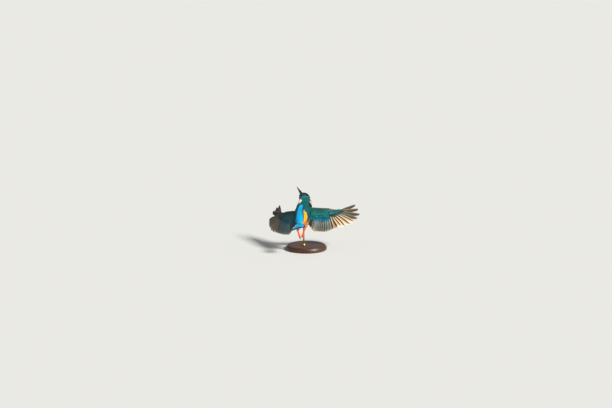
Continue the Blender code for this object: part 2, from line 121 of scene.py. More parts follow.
# Angles in degrees, bend and camber in mm at the wing's tip and rear edge. Cover scales how far the outer
# webs reach over their neighbours, and tone scales the colours of the wing's back as painted shade: the left
# wing, turned away from the key light, is painted darker.
WINGS = {
    "right": {
        "side": 1, "shoulder": (15.5, 16.6, 3.8), "sweep": 4.5, "droop": 8.3, "lean": -5,
        "twist": 58, "bend": -9.5, "camber": -4, "cover": 1.0, "tone": 1.0,
        "fan": (38, -1, -13.5, -52, -79, -88, -91, -89, -93),
    },
    "left": {
        "side": -1, "shoulder": (-14.6, 13.4, 4.3), "sweep": 57, "droop": 16.7, "lean": 29,
        # tone 0.62 is painted shade: the left wing's colours are darkened as if it lay in shadow
        "twist": 10.5, "bend": -1, "camber": -4, "cover": 1.6, "tone": 0.62,
        "fan": (46, 16.5, -5, -31, -79, -92, -108, -107, -104),
    },
}
TAIL_FEATHERS, TAIL_LENGTH, TAIL_BASE, TAIL_ARCH = 12, 37, 10, 2.2
TAIL_HALF_SPREAD = 27  # degrees

# How finely each grid is drawn: rings or rows, then sides or columns
SKIN_GRID, ARM_GRID, THIGH_GRID = (110, 72), (16, 61), (20, 24)
BILL_ROWS, BILL_ARC, BILL_FLAT, EYE_GRID, LID_GRID = 44, 21, 9, (26, 40), (64, 12)
TARSUS_GRID, TOE_GRID, CLAW_GRID = (40, 20), (44, 18), (18, 12)

# Legs: hip, heel and ankle from the trunk's centre, in the frame's own directions
LEGS = {
    "right": ((8.5, -8, -12), (5.0, -9, -30), (2.8, -11.5, -38)),
    "left": ((-8.5, -8, -12), (-10.2, -9, -33), (-8.1, -11.5, -40.5)),
}
TOE_TARGET = (-3.4, -14, -54)
TIBIA_AT, TIBIA_RADII = (0, 0.55, 1), (6.2, 4.6, 2.1)  # share of the way from hip to heel
TARSUS_RADIUS = 1.65
# Length, sideways spread and curl of each toe
TOES = {
    "inner": (9.0, -2.0, -2.2),
    "middle": (12.5, -0.2, -2.6),
    "outer": (11.2, 1.6, -2.0),
    "hind": (6.5, 0.3, 4.2),
}
TOE_RADII = (1.6, 1.45, 1.5, 1.3, 1.3, 0.85, 0.3)
TOE_END, CLAW_START = 0.80, 0.72  # shares of the toe's length
SCALE_PITCH = 1.1  # mm from one ring scale of a toe to the next
CLAW_RADII = (CLAW_START, TOE_END, 0.9, 1.0), (0.62, 0.62, 0.40, 0.10)
TARSUS_SWELL = np.linspace(-0.1, 1.1, 5), (1.15, 0.95, 0.92, 1.05, 1.1)
TARSUS_SCALES = 5.5  # ring scales from heel to ankle


def linear(code):
    """An sRGB hex colour as linear red, green and blue."""
    value = np.array([int(code[i : i + 2], 16) for i in (1, 3, 5)]) / 255
    return np.where(value <= 0.04045, value / 12.92, ((value + 0.055) / 1.055) ** 2.4)


def axes(pitch, heading, bank):
    """Columns right, forward and up after a bank to the left, a nose-up pitch and a heading."""
    p, h, b = (math.radians(a) for a in (pitch, heading, -bank))
    about_z = np.array([[math.cos(h), -math.sin(h), 0], [math.sin(h), math.cos(h), 0], [0, 0, 1]])
    about_x = np.array([[1, 0, 0], [0, math.cos(p), -math.sin(p)], [0, math.sin(p), math.cos(p)]])
    about_y = np.array([[math.cos(b), 0, math.sin(b)], [0, 1, 0], [-math.sin(b), 0, math.cos(b)]])
    return about_z @ about_x @ about_y


BODY, HEAD, TAIL = axes(*BODY_POSE), axes(*HEAD_POSE), axes(*TAIL_POSE)
CENTRE = np.array(TRUNK_CENTRE, float)
HEAD_AT = CENTRE + BODY @ np.array(HEAD_CENTRE)
TAIL_AT = CENTRE + BODY @ np.array(TAIL_ROOT)
FIRST = -len(TAIL_STATIONS)  # number of the hindmost station
LAST = len(TRUNK_STATIONS) + len(HEAD_STATIONS) - 1


def unit(vectors):
    """Vectors brought to length 1."""
    return vectors / np.maximum(np.linalg.norm(vectors, axis=-1, keepdims=True), 1e-12)


def ease(x, low, high):
    """Smooth step from 0 at low to 1 at high."""
    t = np.clip((x - low) / (high - low), 0, 1)
    return t * t * (3 - 2 * t)


def wrap(a):
    """Angles brought between minus pi and pi."""
    return (a + math.pi) % (2 * math.pi) - math.pi


def circle(count):
    """Equal angles round a circle, from 0."""
    return np.linspace(0, 2 * math.pi, count, endpoint=False)


def direction(angle):
    """Unit vectors in the plane at angles from x."""
    return np.stack([np.cos(angle), np.sin(angle)], -1)


def left_of(way):
    """Vectors in the plane turned a quarter to the left."""
    return np.stack([-way[:, 1], way[:, 0]], -1)


def cross_axes(along):
    """Two unit vectors across a direction, from a fixed one that no leg or toe lies along."""
    across = unit(np.cross(along, [0.95, 0.3, 0.1]))
    return across, np.cross(along, across)


def ring_round(across, other, angle):
    """Points of a unit circle in the plane of two vectors, for each pair of them."""
    return across[..., None, :] * np.cos(angle)[:, None] + other[..., None, :] * np.sin(angle)[:, None]


def station_table():
    """Rows of spine point, half width, height above, depth below, turn to head, turn to tail."""
    rows = []
    for back, wide, high, deep in reversed(TAIL_STATIONS):
        share = min(1.0, back / 15 + 0.15)
        rows.append((*(TAIL_AT - TAIL[:, 1] * back), wide, high, deep, 0, share))
    for right, forward, up, wide, high, deep, turn in TRUNK_STATIONS:
        rows.append((*(CENTRE + BODY @ np.array([right, forward, up])), wide, high, deep, turn, 0))
    for forward, wide, high, deep, turn in HEAD_STATIONS:
        rows.append((*(HEAD_AT + HEAD[:, 1] * forward), wide, high, deep, turn, 0))
    rows = np.array(rows)
    return np.vstack([2 * rows[0] - rows[1], rows, 2 * rows[-1] - rows[-2]])


STATIONS = station_table()


def along_spine(u):
    """Catmull-Rom curve through the station table, read at station numbers u."""
    at = np.clip(np.asarray(u, float) - FIRST, 0, LAST - FIRST)
    k = np.minimum(at.astype(int), len(STATIONS) - 4)
    t = (at - k)[..., None]
    a, b, c, d = (STATIONS[k + i] for i in range(4))
    row = 0.5 * (2 * b + (c - a) * t + (2 * a - 5 * b + 4 * c - d) * t**2 + (3 * b - a - 3 * c + d) * t**3)
    over = (np.asarray(u, float) - FIRST - at)[..., None]
    slope = np.where(over > 0, STATIONS[-2] - STATIONS[-3], STATIONS[2] - STATIONS[1])
    return row + slope * over


def ring_point(u, a):
    """A point of the body at station u and angle a (radians) from the back's middle line, to the right.

    Each ring is a superellipse: x and y are the sine and cosine of a over the 2.25-norm of the two,
    scaled by the half width and by the height above or the depth below. Over the tail the ring is
    bent down by the tail's own arch.
    """
    row = along_spine(u)
    to_head, to_tail = row[..., 6:7], row[..., 7:8]
    rest = 1 - to_head - to_tail
    along = unit(BODY[:, 1] * rest + HEAD[:, 1] * to_head + TAIL[:, 1] * to_tail)
    across = BODY[:, 0] * rest + HEAD[:, 0] * to_head + TAIL[:, 0] * to_tail
    across = unit(across - along * (across * along).sum(-1, keepdims=True))
    above = np.cross(across, along)
    x, y = np.sin(a), np.cos(a)
    size = (np.abs(x) ** RING_POWER + np.abs(y) ** RING_POWER) ** (-1 / RING_POWER)
    blend = ease(y, -0.12, 0.12)
    aside = row[..., 3] * x * size
    rise = (row[..., 4] * blend + row[..., 5] * (1 - blend)) * y * size
    rise = rise - row[..., 7] * TAIL_ARCH * (aside / (TAIL_LENGTH / 2)) ** 2
    return row[..., :3] + across * aside[..., None] + above * rise[..., None]


def body_steps(u, a, du, da):
    """How the surface moves from du before u to du after it, and the same round the body for a and da."""
    return ring_point(u + du, a) - ring_point(u - du, a), ring_point(u, a + da) - ring_point(u, a - da)


def body_point(u, a, height=0.0):
    """The body's outer surface at (u, a), moved out along its normal by a height in mm."""
    along, around = body_steps(u, a, 0.02, 0.01)
    out = unit(np.cross(around, along))
    return ring_point(u, a) + out * np.asarray(height)[..., None]


def body_scale(u, a):
    """Millimetres to a whole station and to a radian at (u, a)."""
    du, da = 0.05, 0.03
    along, around = (np.linalg.norm(step, axis=-1) for step in body_steps(u, a, du, da))
    return np.maximum(along / (2 * du), 1.2), np.maximum(around / (2 * da), 0.8)


def wing_axes(wing):
    """Columns span, leading and up of one wing, where up is its back."""
    sweep, droop, lean = (math.radians(wing[k]) for k in ("sweep", "droop", "lean"))
    side = wing["side"]
    span = unit(np.array([side * math.cos(sweep), math.sin(sweep), -math.tan(droop)]))
    down = np.array([0, 0, -1.0])
    down = unit(down - span * (down @ span))
    rear = np.cross(down, span) * side
    leading = -down * math.cos(lean) - rear * math.sin(lean)
    return np.stack([span, leading, np.cross(span, leading) * side], axis=1)


def wing_flat(wing, plane):
    """Bends the wing's plane (mm): twist eased in along the span, span and chord curved as squares."""
    x, y = plane[..., 0], plane[..., 1]
    twist = math.radians(wing["twist"]) * ease(x, TWIST_FROM, TWIST_TO)
    up = wing["bend"] * (x / WING_SPAN) ** 2 + wing["camber"] * (y / CHORD) ** 2
    flat = np.stack([x, y * np.cos(twist), -y * np.sin(twist) + up], -1)
    return CENTRE + BODY @ np.array(wing["shoulder"]) + flat @ wing_axes(wing).T


def wing_point(wing, plane, height=0.0):
    """The bent wing's middle surface, moved out of its back by a height in mm."""
    step = 0.4
    along = wing_flat(wing, plane + [step, 0]) - wing_flat(wing, plane - [step, 0])
    across = wing_flat(wing, plane + [0, step]) - wing_flat(wing, plane - [0, step])
    out = unit(np.cross(along, across) * wing["side"])
    return wing_flat(wing, plane) + out * np.asarray(height)[..., None]


def path_at(t, counts, places):
    """Places in the wing's plane between those given at the counts."""
    return np.stack([np.interp(t, counts, [place[i] for place in places]) for i in (0, 1)], -1)


def fan_at(wing, t):
    """Quill root, direction and length at count t from the outermost flight feather."""
    root = path_at(t, *QUILL_ROOTS)
    angle = np.radians(np.interp(t, FAN_AT, wing["fan"]))
    return root, direction(angle), np.interp(t, *LENGTHS)


def chord_at(wing, t):
    """Leading edge and end of the fleshy wing at count t, where the coverts' bases end."""
    root, way, length = fan_at(wing, t)
    return path_at(t, *FRONT_EDGE), root + way * (length * COVERT_SHARE)[..., None]


def flesh_half(t, c):
    """Half thickness of the wing at count t and chord share c: a round nose that thins to the plate."""
    c = np.clip(c, 0, None)
    nose = 2.35 * np.sqrt(c) * np.clip(1 - c, 0, 1)
    return PLATE / 2 + 0.5 * np.interp(t, *FLESH_THICK) * nose


def tail_point(right, back, height=0.0):
    """The tail's plane: right and back from its root in mm, lower at both sides by an arch."""
    up = height - TAIL_ARCH * (right / (TAIL_LENGTH / 2)) ** 2
    return TAIL_AT + np.stack([right, -back, up], -1) @ TAIL.T


def shell(rows, columns):
    """A closed leaf: s runs 0 to 1 down it, c from -1 to 1 across; both faces share the rim.

    Returns s, c, face side (1 above, -1 below, 0 on the rim) and quads that face outwards.
    """
    s, c = np.meshgrid(rows, columns, indexing="ij")
    count = s.size
    top = np.arange(count).reshape(s.shape)
    low = top.copy()
    inside = (slice(1, -1), slice(1, -1))
    low[inside] = count + np.arange(low[inside].size).reshape(low[inside].shape)
    side = np.zeros(s.shape)
    side[inside] = 1
    over = np.stack([top[:-1, :-1], top[1:, :-1], top[1:, 1:], top[:-1, 1:]], -1)
    under = np.stack([low[:-1, :-1], low[:-1, 1:], low[1:, 1:], low[1:, :-1]], -1)
    for grid in (over, under):  # so that no corner quad is halved between two rim vertices
        for corner in ((0, -1), (-1, 0)):
            grid[corner] = np.roll(grid[corner], 1)
    flat = [np.concatenate([g.ravel(), g[inside].ravel()]) for g in (s, c)]
    sides = np.concatenate([side.ravel(), -np.ones(side[inside].size)])
    return flat[0], flat[1], sides, np.concatenate([over, under]).reshape(-1, 4)


def spread(leaf, way, length, width, lift, rng, thick=0.09, fringe=0.06, round_tip=0.42, roll=0.06):
    """Contour feathers on their sheet: offsets from each root (N, V, 2) and heights (N, V), in mm.

    s runs along the lie, c across. The width swells from a narrow quill and the tip is drawn back by
    the square of c. Heights rise from the root's to the tip's lift, fall at the edges as a dome, and
    roll so that each vane's left edge lies over its neighbour.
    """
    s, c, side, _ = leaf
    count = len(length)
    jag = rng.normal(0, fringe, (count, len(s))) * ease(s, 0.55, 1.0)
    reach = length[:, None] * (s * (1 - round_tip * c**2 * s) + jag * (side == 0))
    swell = 0.30 + 0.70 * ease(s, 0.0, 0.45)
    swell = swell * np.sqrt(1 - 0.66 * ((s - 0.7) / 0.3).clip(0, 1) ** 2)
    bow = rng.normal(0, 0.05, (count, 1)) * length[:, None] * s**2
    aside = width[:, None] / 2 * c * swell + bow
    place = way[:, None] * reach[..., None] + left_of(way)[:, None] * aside[..., None]
    low, high = (np.broadcast_to(v, (count,)) for v in lift)
    high = high + rng.normal(0, 0.035, count)
    dome = 0.06 * width[:, None] * c**2 * ease(s, 0.1, 0.6)
    rise = low[:, None] + (high - low)[:, None] * s**0.85 - dome
    body = thick * side * (1 - 0.5 * s)
    return place, rise + body + roll * c * ease(s, 0.0, 0.3)


def fill(data, key, values, kind=np.float32):
    """Writes a whole array into a mesh's layer."""
    data.foreach_set(key, np.asarray(values).astype(kind).ravel())


def put_mesh(name, points, faces, uvs=None, colours=None, gloss=None, closed=True, rim=None):
    """One mesh object from arrays: points (N, V, 3) in mm, one face table for all N shells.

    The shells' signed volumes tell which are inside out, and those are turned. uvs holds named maps
    per vertex (N, V, 2) or per face corner (N, F, 4, 2), colours and gloss a value per vertex. Edges
    between two vertices of the rim stay sharp, so that a thin vane is shaded flat out to its edge.
    """
    count, size = points.shape[:2]
    per = faces.shape[1]
    volume = np.ones(count)
    if closed:
        fan = points[:, faces] - points.mean(1)[:, None, None]
        wedges = (fan[:, :, 0] * np.cross(fan[:, :, i], fan[:, :, i + 1]) for i in range(1, per - 1))
        volume = sum(wedge.sum((1, 2)) for wedge in wedges)
    turned = (volume < 0)[:, None, None]
    back = [0, *range(per - 1, 0, -1)]  # the other way round from the same corner
    table = np.where(turned, faces[None][..., back], faces[None])
    table = (table + (np.arange(count) * size)[:, None, None]).reshape(-1, per)
    mesh = bpy.data.meshes.new(name)
    mesh.vertices.add(count * size)
    fill(mesh.vertices, "co", points * MM)
    mesh.loops.add(table.size)
    fill(mesh.loops, "vertex_index", table, np.int32)
    mesh.polygons.add(len(table))
    fill(mesh.polygons, "loop_start", np.arange(0, table.size, per), np.int32)
    mesh.update(calc_edges=True)
    for label, uv in (uvs or {}).items():
        if uv.ndim == 4:
            corners = np.where(turned[..., None], uv[:, :, back], uv)
        else:
            corners = uv.reshape(-1, 2)[table]
        fill(mesh.uv_layers.new(name=label).data, "uv", corners)
    if colours is not None:
        four = np.concatenate([colours, np.ones((*colours.shape[:-1], 1))], -1)
        fill(mesh.attributes.new("plumage", "FLOAT_COLOR", "POINT").data, "color", four)
    if gloss is not None:
        shine = np.broadcast_to(gloss, (count, size))
        fill(mesh.attributes.new("gloss", "FLOAT", "POINT").data, "value", shine)
    mesh.shade_smooth()
    if rim is not None:
        ends = np.empty(len(mesh.edges) * 2, np.int32)
        mesh.edges.foreach_get("vertices", ends)
        sharp = np.tile(rim, count)[ends.reshape(-1, 2)].all(1)
        fill(mesh.attributes.new("sharp_edge", "BOOLEAN", "EDGE").data, "value", sharp, bool)
    mesh.validate()
    made = bpy.data.objects.new(name, mesh)
    bpy.context.scene.collection.objects.link(made)
    return made


def finish_piece(piece, look, nodes=()):
    """Gives a piece its material, body and the CAD nodes that it stands for."""
    piece.data.materials.append(look)
    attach(piece, "root")
    if nodes:
        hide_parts(*nodes)
    return piece


def put_vanes(name, look, nodes, leaf, points, maps, colours, gloss):
    """A joined mesh of leaves with their sheet places, colours and gloss, as a finished piece."""
    piece = put_mesh(name, points, leaf[3], maps, colours, gloss, rim=leaf[2] == 0)
    return finish_piece(piece, look, nodes)


# The sheet that colours are baked on: left, low, width and height of the share that each part has
SHEET = {"body": (0, 0.36, 1, 0.64), "wing": (0, 0.12, 1, 0.24), "thigh": (0, 0, 0.4, 0.12)}


def on_sheet(part, u, v):
    """Places shares u and v (0 to 1) of a part's unwrap on the whole sheet."""
    left, low, wide, high = SHEET[part]
    return np.stack([left + wide * np.clip(u, 0.003, 0.997), low + high * np.clip(v, 0.003, 0.997)], -1)


def body_sheet(u, a):
    """The place on the sheet of the body's surface at station u and angle a."""
    return on_sheet("body", (u - FIRST) / (LAST - FIRST), 0.5 + a / (2 * math.pi))


def tuft_maps(leaf, root, length, width):
    """OFBake: a patch 0.003 across at the root's place. Vane: mm across and along each feather."""
    s, c = leaf[0], leaf[1]
    patch = np.stack([c * 0.0015, (s - 0.5) * 0.003], -1)
    vane = np.stack([c * width[:, None] / 2, s * length[:, None]], -1)
    return {"OFBake": root[:, None] + patch[None], "Vane": vane}


def add(tree, kind, inputs=None, stops=(), **settings):
    """Adds a node with its settings and colour stops, then links or sets its inputs by name or number."""
    made = tree.nodes.new(kind)
    for key, value in settings.items():
        setattr(made, key, value)
    for number, (place, colour) in enumerate(stops):
        line = made.color_ramp.elements
        element = line[number] if number < len(line) else line.new(place)
        element.position, element.color = place, (*[float(v) for v in colour], 1.0)
    for key, value in (inputs or {}).items():
        socket = made.inputs[key]
        if isinstance(value, bpy.types.NodeSocket):
            tree.links.new(value, socket)
        else:
            socket.default_value = value
    return made


def new_look(name, **constants):
    """A material with one Principled shader whose constant values are set on its own sockets."""
    made = bpy.data.materials.new(name)
    made.use_nodes = True
    made.node_tree.nodes.clear()
    inputs = {key.replace("_", " "): value for key, value in constants.items()}
    shader = add(made.node_tree, "ShaderNodeBsdfPrincipled", inputs)
    add(made.node_tree, "ShaderNodeOutputMaterial", {"Surface": shader.outputs[0]})
    return made, made.node_tree, shader


def surface(look, tone, shade=None, rough=None, bump=None, strength=1.0, invert=False):
    """Completes a material from patterns.

    Its colour is the tone times the shade. Shade and roughness are each a pattern, a gain and an
    offset, worked out as pattern times gain plus offset. Bump is a pattern and its depth in mm.
    """
    made, tree, shader = look
    levels = []
    for pattern in (shade, rough):
        inputs = dict(enumerate(pattern or ()))
        levels.append(pattern and add(tree, "ShaderNodeMath", inputs, operation="MULTIPLY_ADD").outputs[0])
    if shade:
        tone = add(tree, "ShaderNodeVectorMath", {0: tone, 1: levels[0]}, operation="MULTIPLY").outputs[0]
    tree.links.new(tone, shader.inputs["Base Color"])
    if rough:
        tree.links.new(levels[1], shader.inputs["Roughness"])
    if bump:
        inputs = {"Height": bump[0], "Distance": bump[1] * MM, "Strength": strength}
        lumps = add(tree, "ShaderNodeBump", inputs, invert=invert)
        tree.links.new(lumps.outputs[0], shader.inputs["Normal"])
    return made


def feather_look(name, barb, depth, roughness, sheen, contrast=0.06):
    """Keratin vane of a contour or flight feather: the barbs give a fine slanted comb and a soft sheen.

    Real barbs stand 0.15 to 0.3 mm apart; barb is a few times that, so that the comb shows. The comb
    runs along y minus the distance from the shaft, so that it slants to the tip on both sides.
    """
    look = new_look(name, Sheen_Weight=sheen, Sheen_Roughness=0.45, IOR=1.5, Specular_IOR_Level=0.22)
    tree = look[1]
    dyed = add(tree, "ShaderNodeAttribute", attribute_name="plumage")
    gloss = add(tree, "ShaderNodeAttribute", attribute_name="gloss")
    vane = add(tree, "ShaderNodeUVMap", uv_map="Vane")
    parts = add(tree, "ShaderNodeSeparateXYZ", {0: vane.outputs[0]})
    aside = add(tree, "ShaderNodeMath", {0: parts.outputs[0]}, operation="ABSOLUTE")
    slant = add(tree, "ShaderNodeMath", {0: parts.outputs[1], 1: aside.outputs[0]}, operation="SUBTRACT")
    # the comb wavers over about 1 mm
    ripple = add(tree, "ShaderNodeTexNoise", {"Vector": vane.outputs[0], "Scale": 1.1, "Detail": 2.0})
    swayed = {0: ripple.outputs[0], 1: 1.2 * barb, 2: slant.outputs[0]}
    sway = add(tree, "ShaderNodeMath", swayed, operation="MULTIPLY_ADD")
    turns = add(tree, "ShaderNodeMath", {0: sway.outputs[0], 1: 2 * math.pi / barb}, operation="MULTIPLY")
    comb = add(tree, "ShaderNodeMath", {0: turns.outputs[0]}, operation="SINE").outputs[0]
    place = add(tree, "ShaderNodeTexCoord")
    # feathers differ in tone over about 2 mm
    inputs = {"Vector": place.outputs["Object"], "Scale": 420.0, "Detail": 3.0}
    mottle = add(tree, "ShaderNodeTexNoise", inputs)
    lined = add(tree, "ShaderNodeMath", {0: comb, 1: contrast, 2: 0.74}, operation="MULTIPLY_ADD")
    shade = (mottle.outputs[0], 0.50, lined.outputs[0])
    rough = (gloss.outputs["Fac"], -0.30, roughness)
    return surface(look, dyed.outputs["Color"], shade, rough, (comb, depth), strength=0.6)


def skin_look():
    """Thin avian skin with down on it: soft, mottled, close to the colour of the feathers over it."""
    look = new_look("skin_with_down", Roughness=0.8, Sheen_Weight=0.3)
    dyed = add(look[1], "ShaderNodeAttribute", attribute_name="plumage")
    place = add(look[1], "ShaderNodeTexCoord")
    # down tufts about 1.2 mm apart
    inputs = {"Vector": place.outputs["Object"], "Scale": 800.0, "Detail": 4.0}
    down = add(look[1], "ShaderNodeTexNoise", inputs)
    return surface(look, dyed.outputs["Color"], (down.outputs[0], 0.9, 0.35), bump=(down.outputs[0], 0.3))


def bill_look(dark, light):
    """Horn sheath of the bill, grown in layers and worn smooth: satin black horn whose tones are tinted navy
    as a painted reflection of blue surroundings, with faint lengthwise lines.
    """
    look = new_look("bill_horn", IOR=1.54, Coat_Weight=0.10, Coat_Roughness=0.30, Specular_IOR_Level=0.30)
    tree = look[1]
    vane = add(tree, "ShaderNodeUVMap", uv_map="Vane")
    # growth lines about 0.35 mm apart round the bill, drawn out 14 times along it
    drawn = add(tree, "ShaderNodeMapping", {"Vector": vane.outputs[0], "Scale": (2.8, 0.2, 1.0)})
    inputs = {"Vector": drawn.outputs[0], "Scale": 1.0, "Detail": 5.0, "Roughness": 0.6}
    lines = add(tree, "ShaderNodeTexNoise", inputs).outputs[0]
    dyed = add(tree, "ShaderNodeAttribute", attribute_name="plumage")
    streak = add(tree, "ShaderNodeValToRGB", {"Fac": lines}, [(0.35, dark), (0.72, light)])
    inputs = {"Factor": 0.5, 6: streak.outputs["Color"], 7: dyed.outputs["Color"]}
    both = add(tree, "ShaderNodeMix", inputs, data_type="RGBA")
    return surface(look, both.outputs[2], rough=(lines, 0.25, 0.22), bump=(lines, 0.05))


def eye_look():
    """Wet cornea over a dark brown iris: near-black with a warm rim and a hard highlight."""
    look = new_look("eye_cornea", Roughness=0.04, IOR=1.40, Coat_Weight=0.25, Coat_Roughness=0.02)
    dyed = add(look[1], "ShaderNodeAttribute", attribute_name="plumage")
    place = add(look[1], "ShaderNodeTexCoord")
    # radial iris fibres are about 0.1 mm; drawn at 0.3 mm
    inputs = {"Vector": place.outputs["Object"], "Scale": 3300.0, "Detail": 2.0}
    fibre = add(look[1], "ShaderNodeTexNoise", inputs)
    return surface(look, dyed.outputs["Color"], (fibre.outputs[0], 0.8, 0.6))


def scaly_look(name, roughness, size, depth):
    """Scaled foot skin or worn claw horn: its colour is broken by cells of a size in mm, lighter inside."""
    look = new_look(name, IOR=1.45)
    dyed = add(look[1], "ShaderNodeAttribute", attribute_name="plumage")
    place = add(look[1], "ShaderNodeTexCoord")
    inputs = {"Vector": place.outputs["Object"], "Scale": 1 / (size * MM)}
    cells = add(look[1], "ShaderNodeTexVoronoi", inputs)
    gap = cells.outputs["Distance"]
    shade, rough = (gap, -0.55, 1.15), (gap, 0.2, roughness)
    return surface(look, dyed.outputs["Color"], shade, rough, (gap, depth), invert=True)


def walnut_look(dark, middle, light):
    """Oiled black walnut, turned: brown grain lines, darker pores and a low oil gloss."""
    look = new_look("oiled_walnut", IOR=1.5, Coat_Weight=0.12, Coat_Roughness=0.3)
    tree = look[1]
    place = add(tree, "ShaderNodeTexCoord").outputs["Object"]
    # the grain wanders over about 70 mm
    warp = add(tree, "ShaderNodeTexNoise", {"Vector": place, "Scale": 14.0, "Detail": 2.0})
    # the tree's axis lies along the board, off the stand, so the rings cut it as long open arches
    inputs = {"Location": (0.05, 0.11, 0.02), "Rotation": (0.05, 0.12, 0.5), "Scale": (0.18, 1.0, 1.0)}
    board = add(tree, "ShaderNodeMapping", {"Vector": place, **inputs})
    inputs = {0: warp.outputs["Color"], 1: (0.012, 0.012, 0.012), 2: board.outputs[0]}
    bend = add(tree, "ShaderNodeVectorMath", inputs, operation="MULTIPLY_ADD").outputs[0]
    # growth rings 3.2 mm apart, where a wave of scale 1 repeats each 2 pi / 20
    inputs = {"Vector": bend, "Scale": 2 * math.pi / (20 * 3.2 * MM)}
    inputs.update({"Distortion": 1.5, "Detail": 3.0, "Detail Scale": 2.0})
    rings = add(tree, "ShaderNodeTexWave", inputs, wave_type="RINGS", rings_direction="X")
    # pores about 0.6 mm across, drawn out 27 times along the board
    fine = add(tree, "ShaderNodeMapping", {"Vector": bend, "Scale": (60.0, 1600.0, 1600.0)})
    inputs = {"Vector": fine.outputs[0], "Scale": 1.0, "Detail": 3.0}
    pores = add(tree, "ShaderNodeTexNoise", inputs).outputs[0]
    stops = [(0.0, dark), (0.45, middle), (1.0, light)]
    wood = add(tree, "ShaderNodeValToRGB", {"Fac": rings.outputs["Color"]}, stops)
    return surface(look, wood.outputs["Color"], (pores, 1.1, 0.42), (pores, -0.3, 0.55), (pores, 0.06))


def brass_look(base):
    """Turned brass under a worn satin lacquer: fine rings round the axis and slightly dulled patches."""
    look = new_look("satin_brass", Metallic=1.0)
    tree = look[1]
    place = add(tree, "ShaderNodeTexCoord").outputs["Object"]
    # tool marks 0.25 mm apart up the axis
    turned = add(tree, "ShaderNodeMapping", {"Vector": place, "Scale": (30.0, 30.0, 4000.0)})
    inputs = {"Vector": turned.outputs[0], "Scale": 1.0, "Detail": 2.0}
    marks = add(tree, "ShaderNodeTexNoise", inputs).outputs[0]
    # dulled patches about 6 mm across
    dull = add(tree, "ShaderNodeTexNoise", {"Vector": place, "Scale": 160.0, "Detail": 3.0})
    tone = add(tree, "ShaderNodeValToRGB", {"Fac": dull.outputs[0]}, [(0.3, base * 0.72), (0.65, base)])
    return surface(look, tone.outputs["Color"], rough=(marks, 0.3, 0.16), bump=(marks, 0.02))


def floor_look(colour):
    """Matt paper sweep: one pale tone with a trace of fibre, about 4 mm long."""
    look = new_look("matt_paper", Roughness=0.95, Specular_IOR_Level=0.1)
    place = add(look[1], "ShaderNodeTexCoord")
    inputs = {"Vector": place.outputs["Object"], "Scale": 240.0, "Detail": 3.0}
    fibre = add(look[1], "ShaderNodeTexNoise", inputs)
    stops = [(0.3, colour * 0.985), (0.7, colour)]
    tone = add(look[1], "ShaderNodeValToRGB", {"Fac": fibre.outputs[0]}, stops)
    return surface(look, tone.outputs["Color"])


def paint(base, colour, weight):
    """Lays a colour over a base by a weight from 0 to 1."""
    return base + (np.asarray(colour) - base) * np.asarray(weight)[..., None]


def within(x, low, high, soft):
    """1 between low and high, easing to 0 over soft outside them."""
    return ease(x, low - soft, low) * (1 - ease(x, high, high + soft))


def inside(x, edge, soft):
    """1 below an edge and 0 above it, easing over soft on both sides of it."""
    return 1 - ease(x, edge - soft, edge + soft)


# Edges of the markings in degrees from the back's middle line: stations, then degrees at them. As the
# bird twists, the azure stripe lies left of the middle; the mantle and scapulars lie beside it.
AZURE_AT = (-4, -1, 0.2, 1.3, 2.5, 3.5, 5, 5.3, 5.5)
AZURE_HALF = AZURE_AT, (88, 88, 74, 48, 24, 16.5, 14, 11, -3)
AZURE_MIDDLE = AZURE_AT, (0, 0, -15, -8, -2, -2, 0, 0, 0)
GREEN_EDGE = (0.2, 1.4, 2, 2.5, 3.4, 3.9), (64, 50, 40, 34, 25, 27)
SCAPULAR_EDGE = (1.5, 2.0, 2.5, 3.1, 3.4, 3.7), (108, 82, 62, 48, 38, 27)
NECK_MIDDLE = (6.1, 7.1, 8.0), (58, 66, 80)
NECK_HALF = (6.1, 6.55, 7.3, 8.0), (15, 26, 21, 10)
HEAD_STATION = (7, 8, 9, 10, 11, 12, 13, 14)
CROWN_EDGE = HEAD_STATION, (72, 64, 60, 58, 53, 48, 52, 58)
HEAD_MM = HEAD_STATION, (-12, -7.5, -2, 3, 8.5, 13.5, 17.5, 19)
BAR_PITCH = 1.9  # mm from one bar of the crown to the next


def neck_patch(u, a):
    """1 on the white patch at each side of the neck, carried round by 20 degrees as the head is turned.

    The patch is a band whose middle angle and half width are read from tables, narrow at both ends.
    """
    turn = 20 * (1 - ease(u, 7.0, 7.9))
    aside = np.abs(np.abs(np.degrees(a) - turn) - np.interp(u, *NECK_MIDDLE)) + 2.5 * np.sin(9 * u)
    return within(u, 6.15, 7.85, 0.15) * inside(aside, np.interp(u, *NECK_HALF), 3)


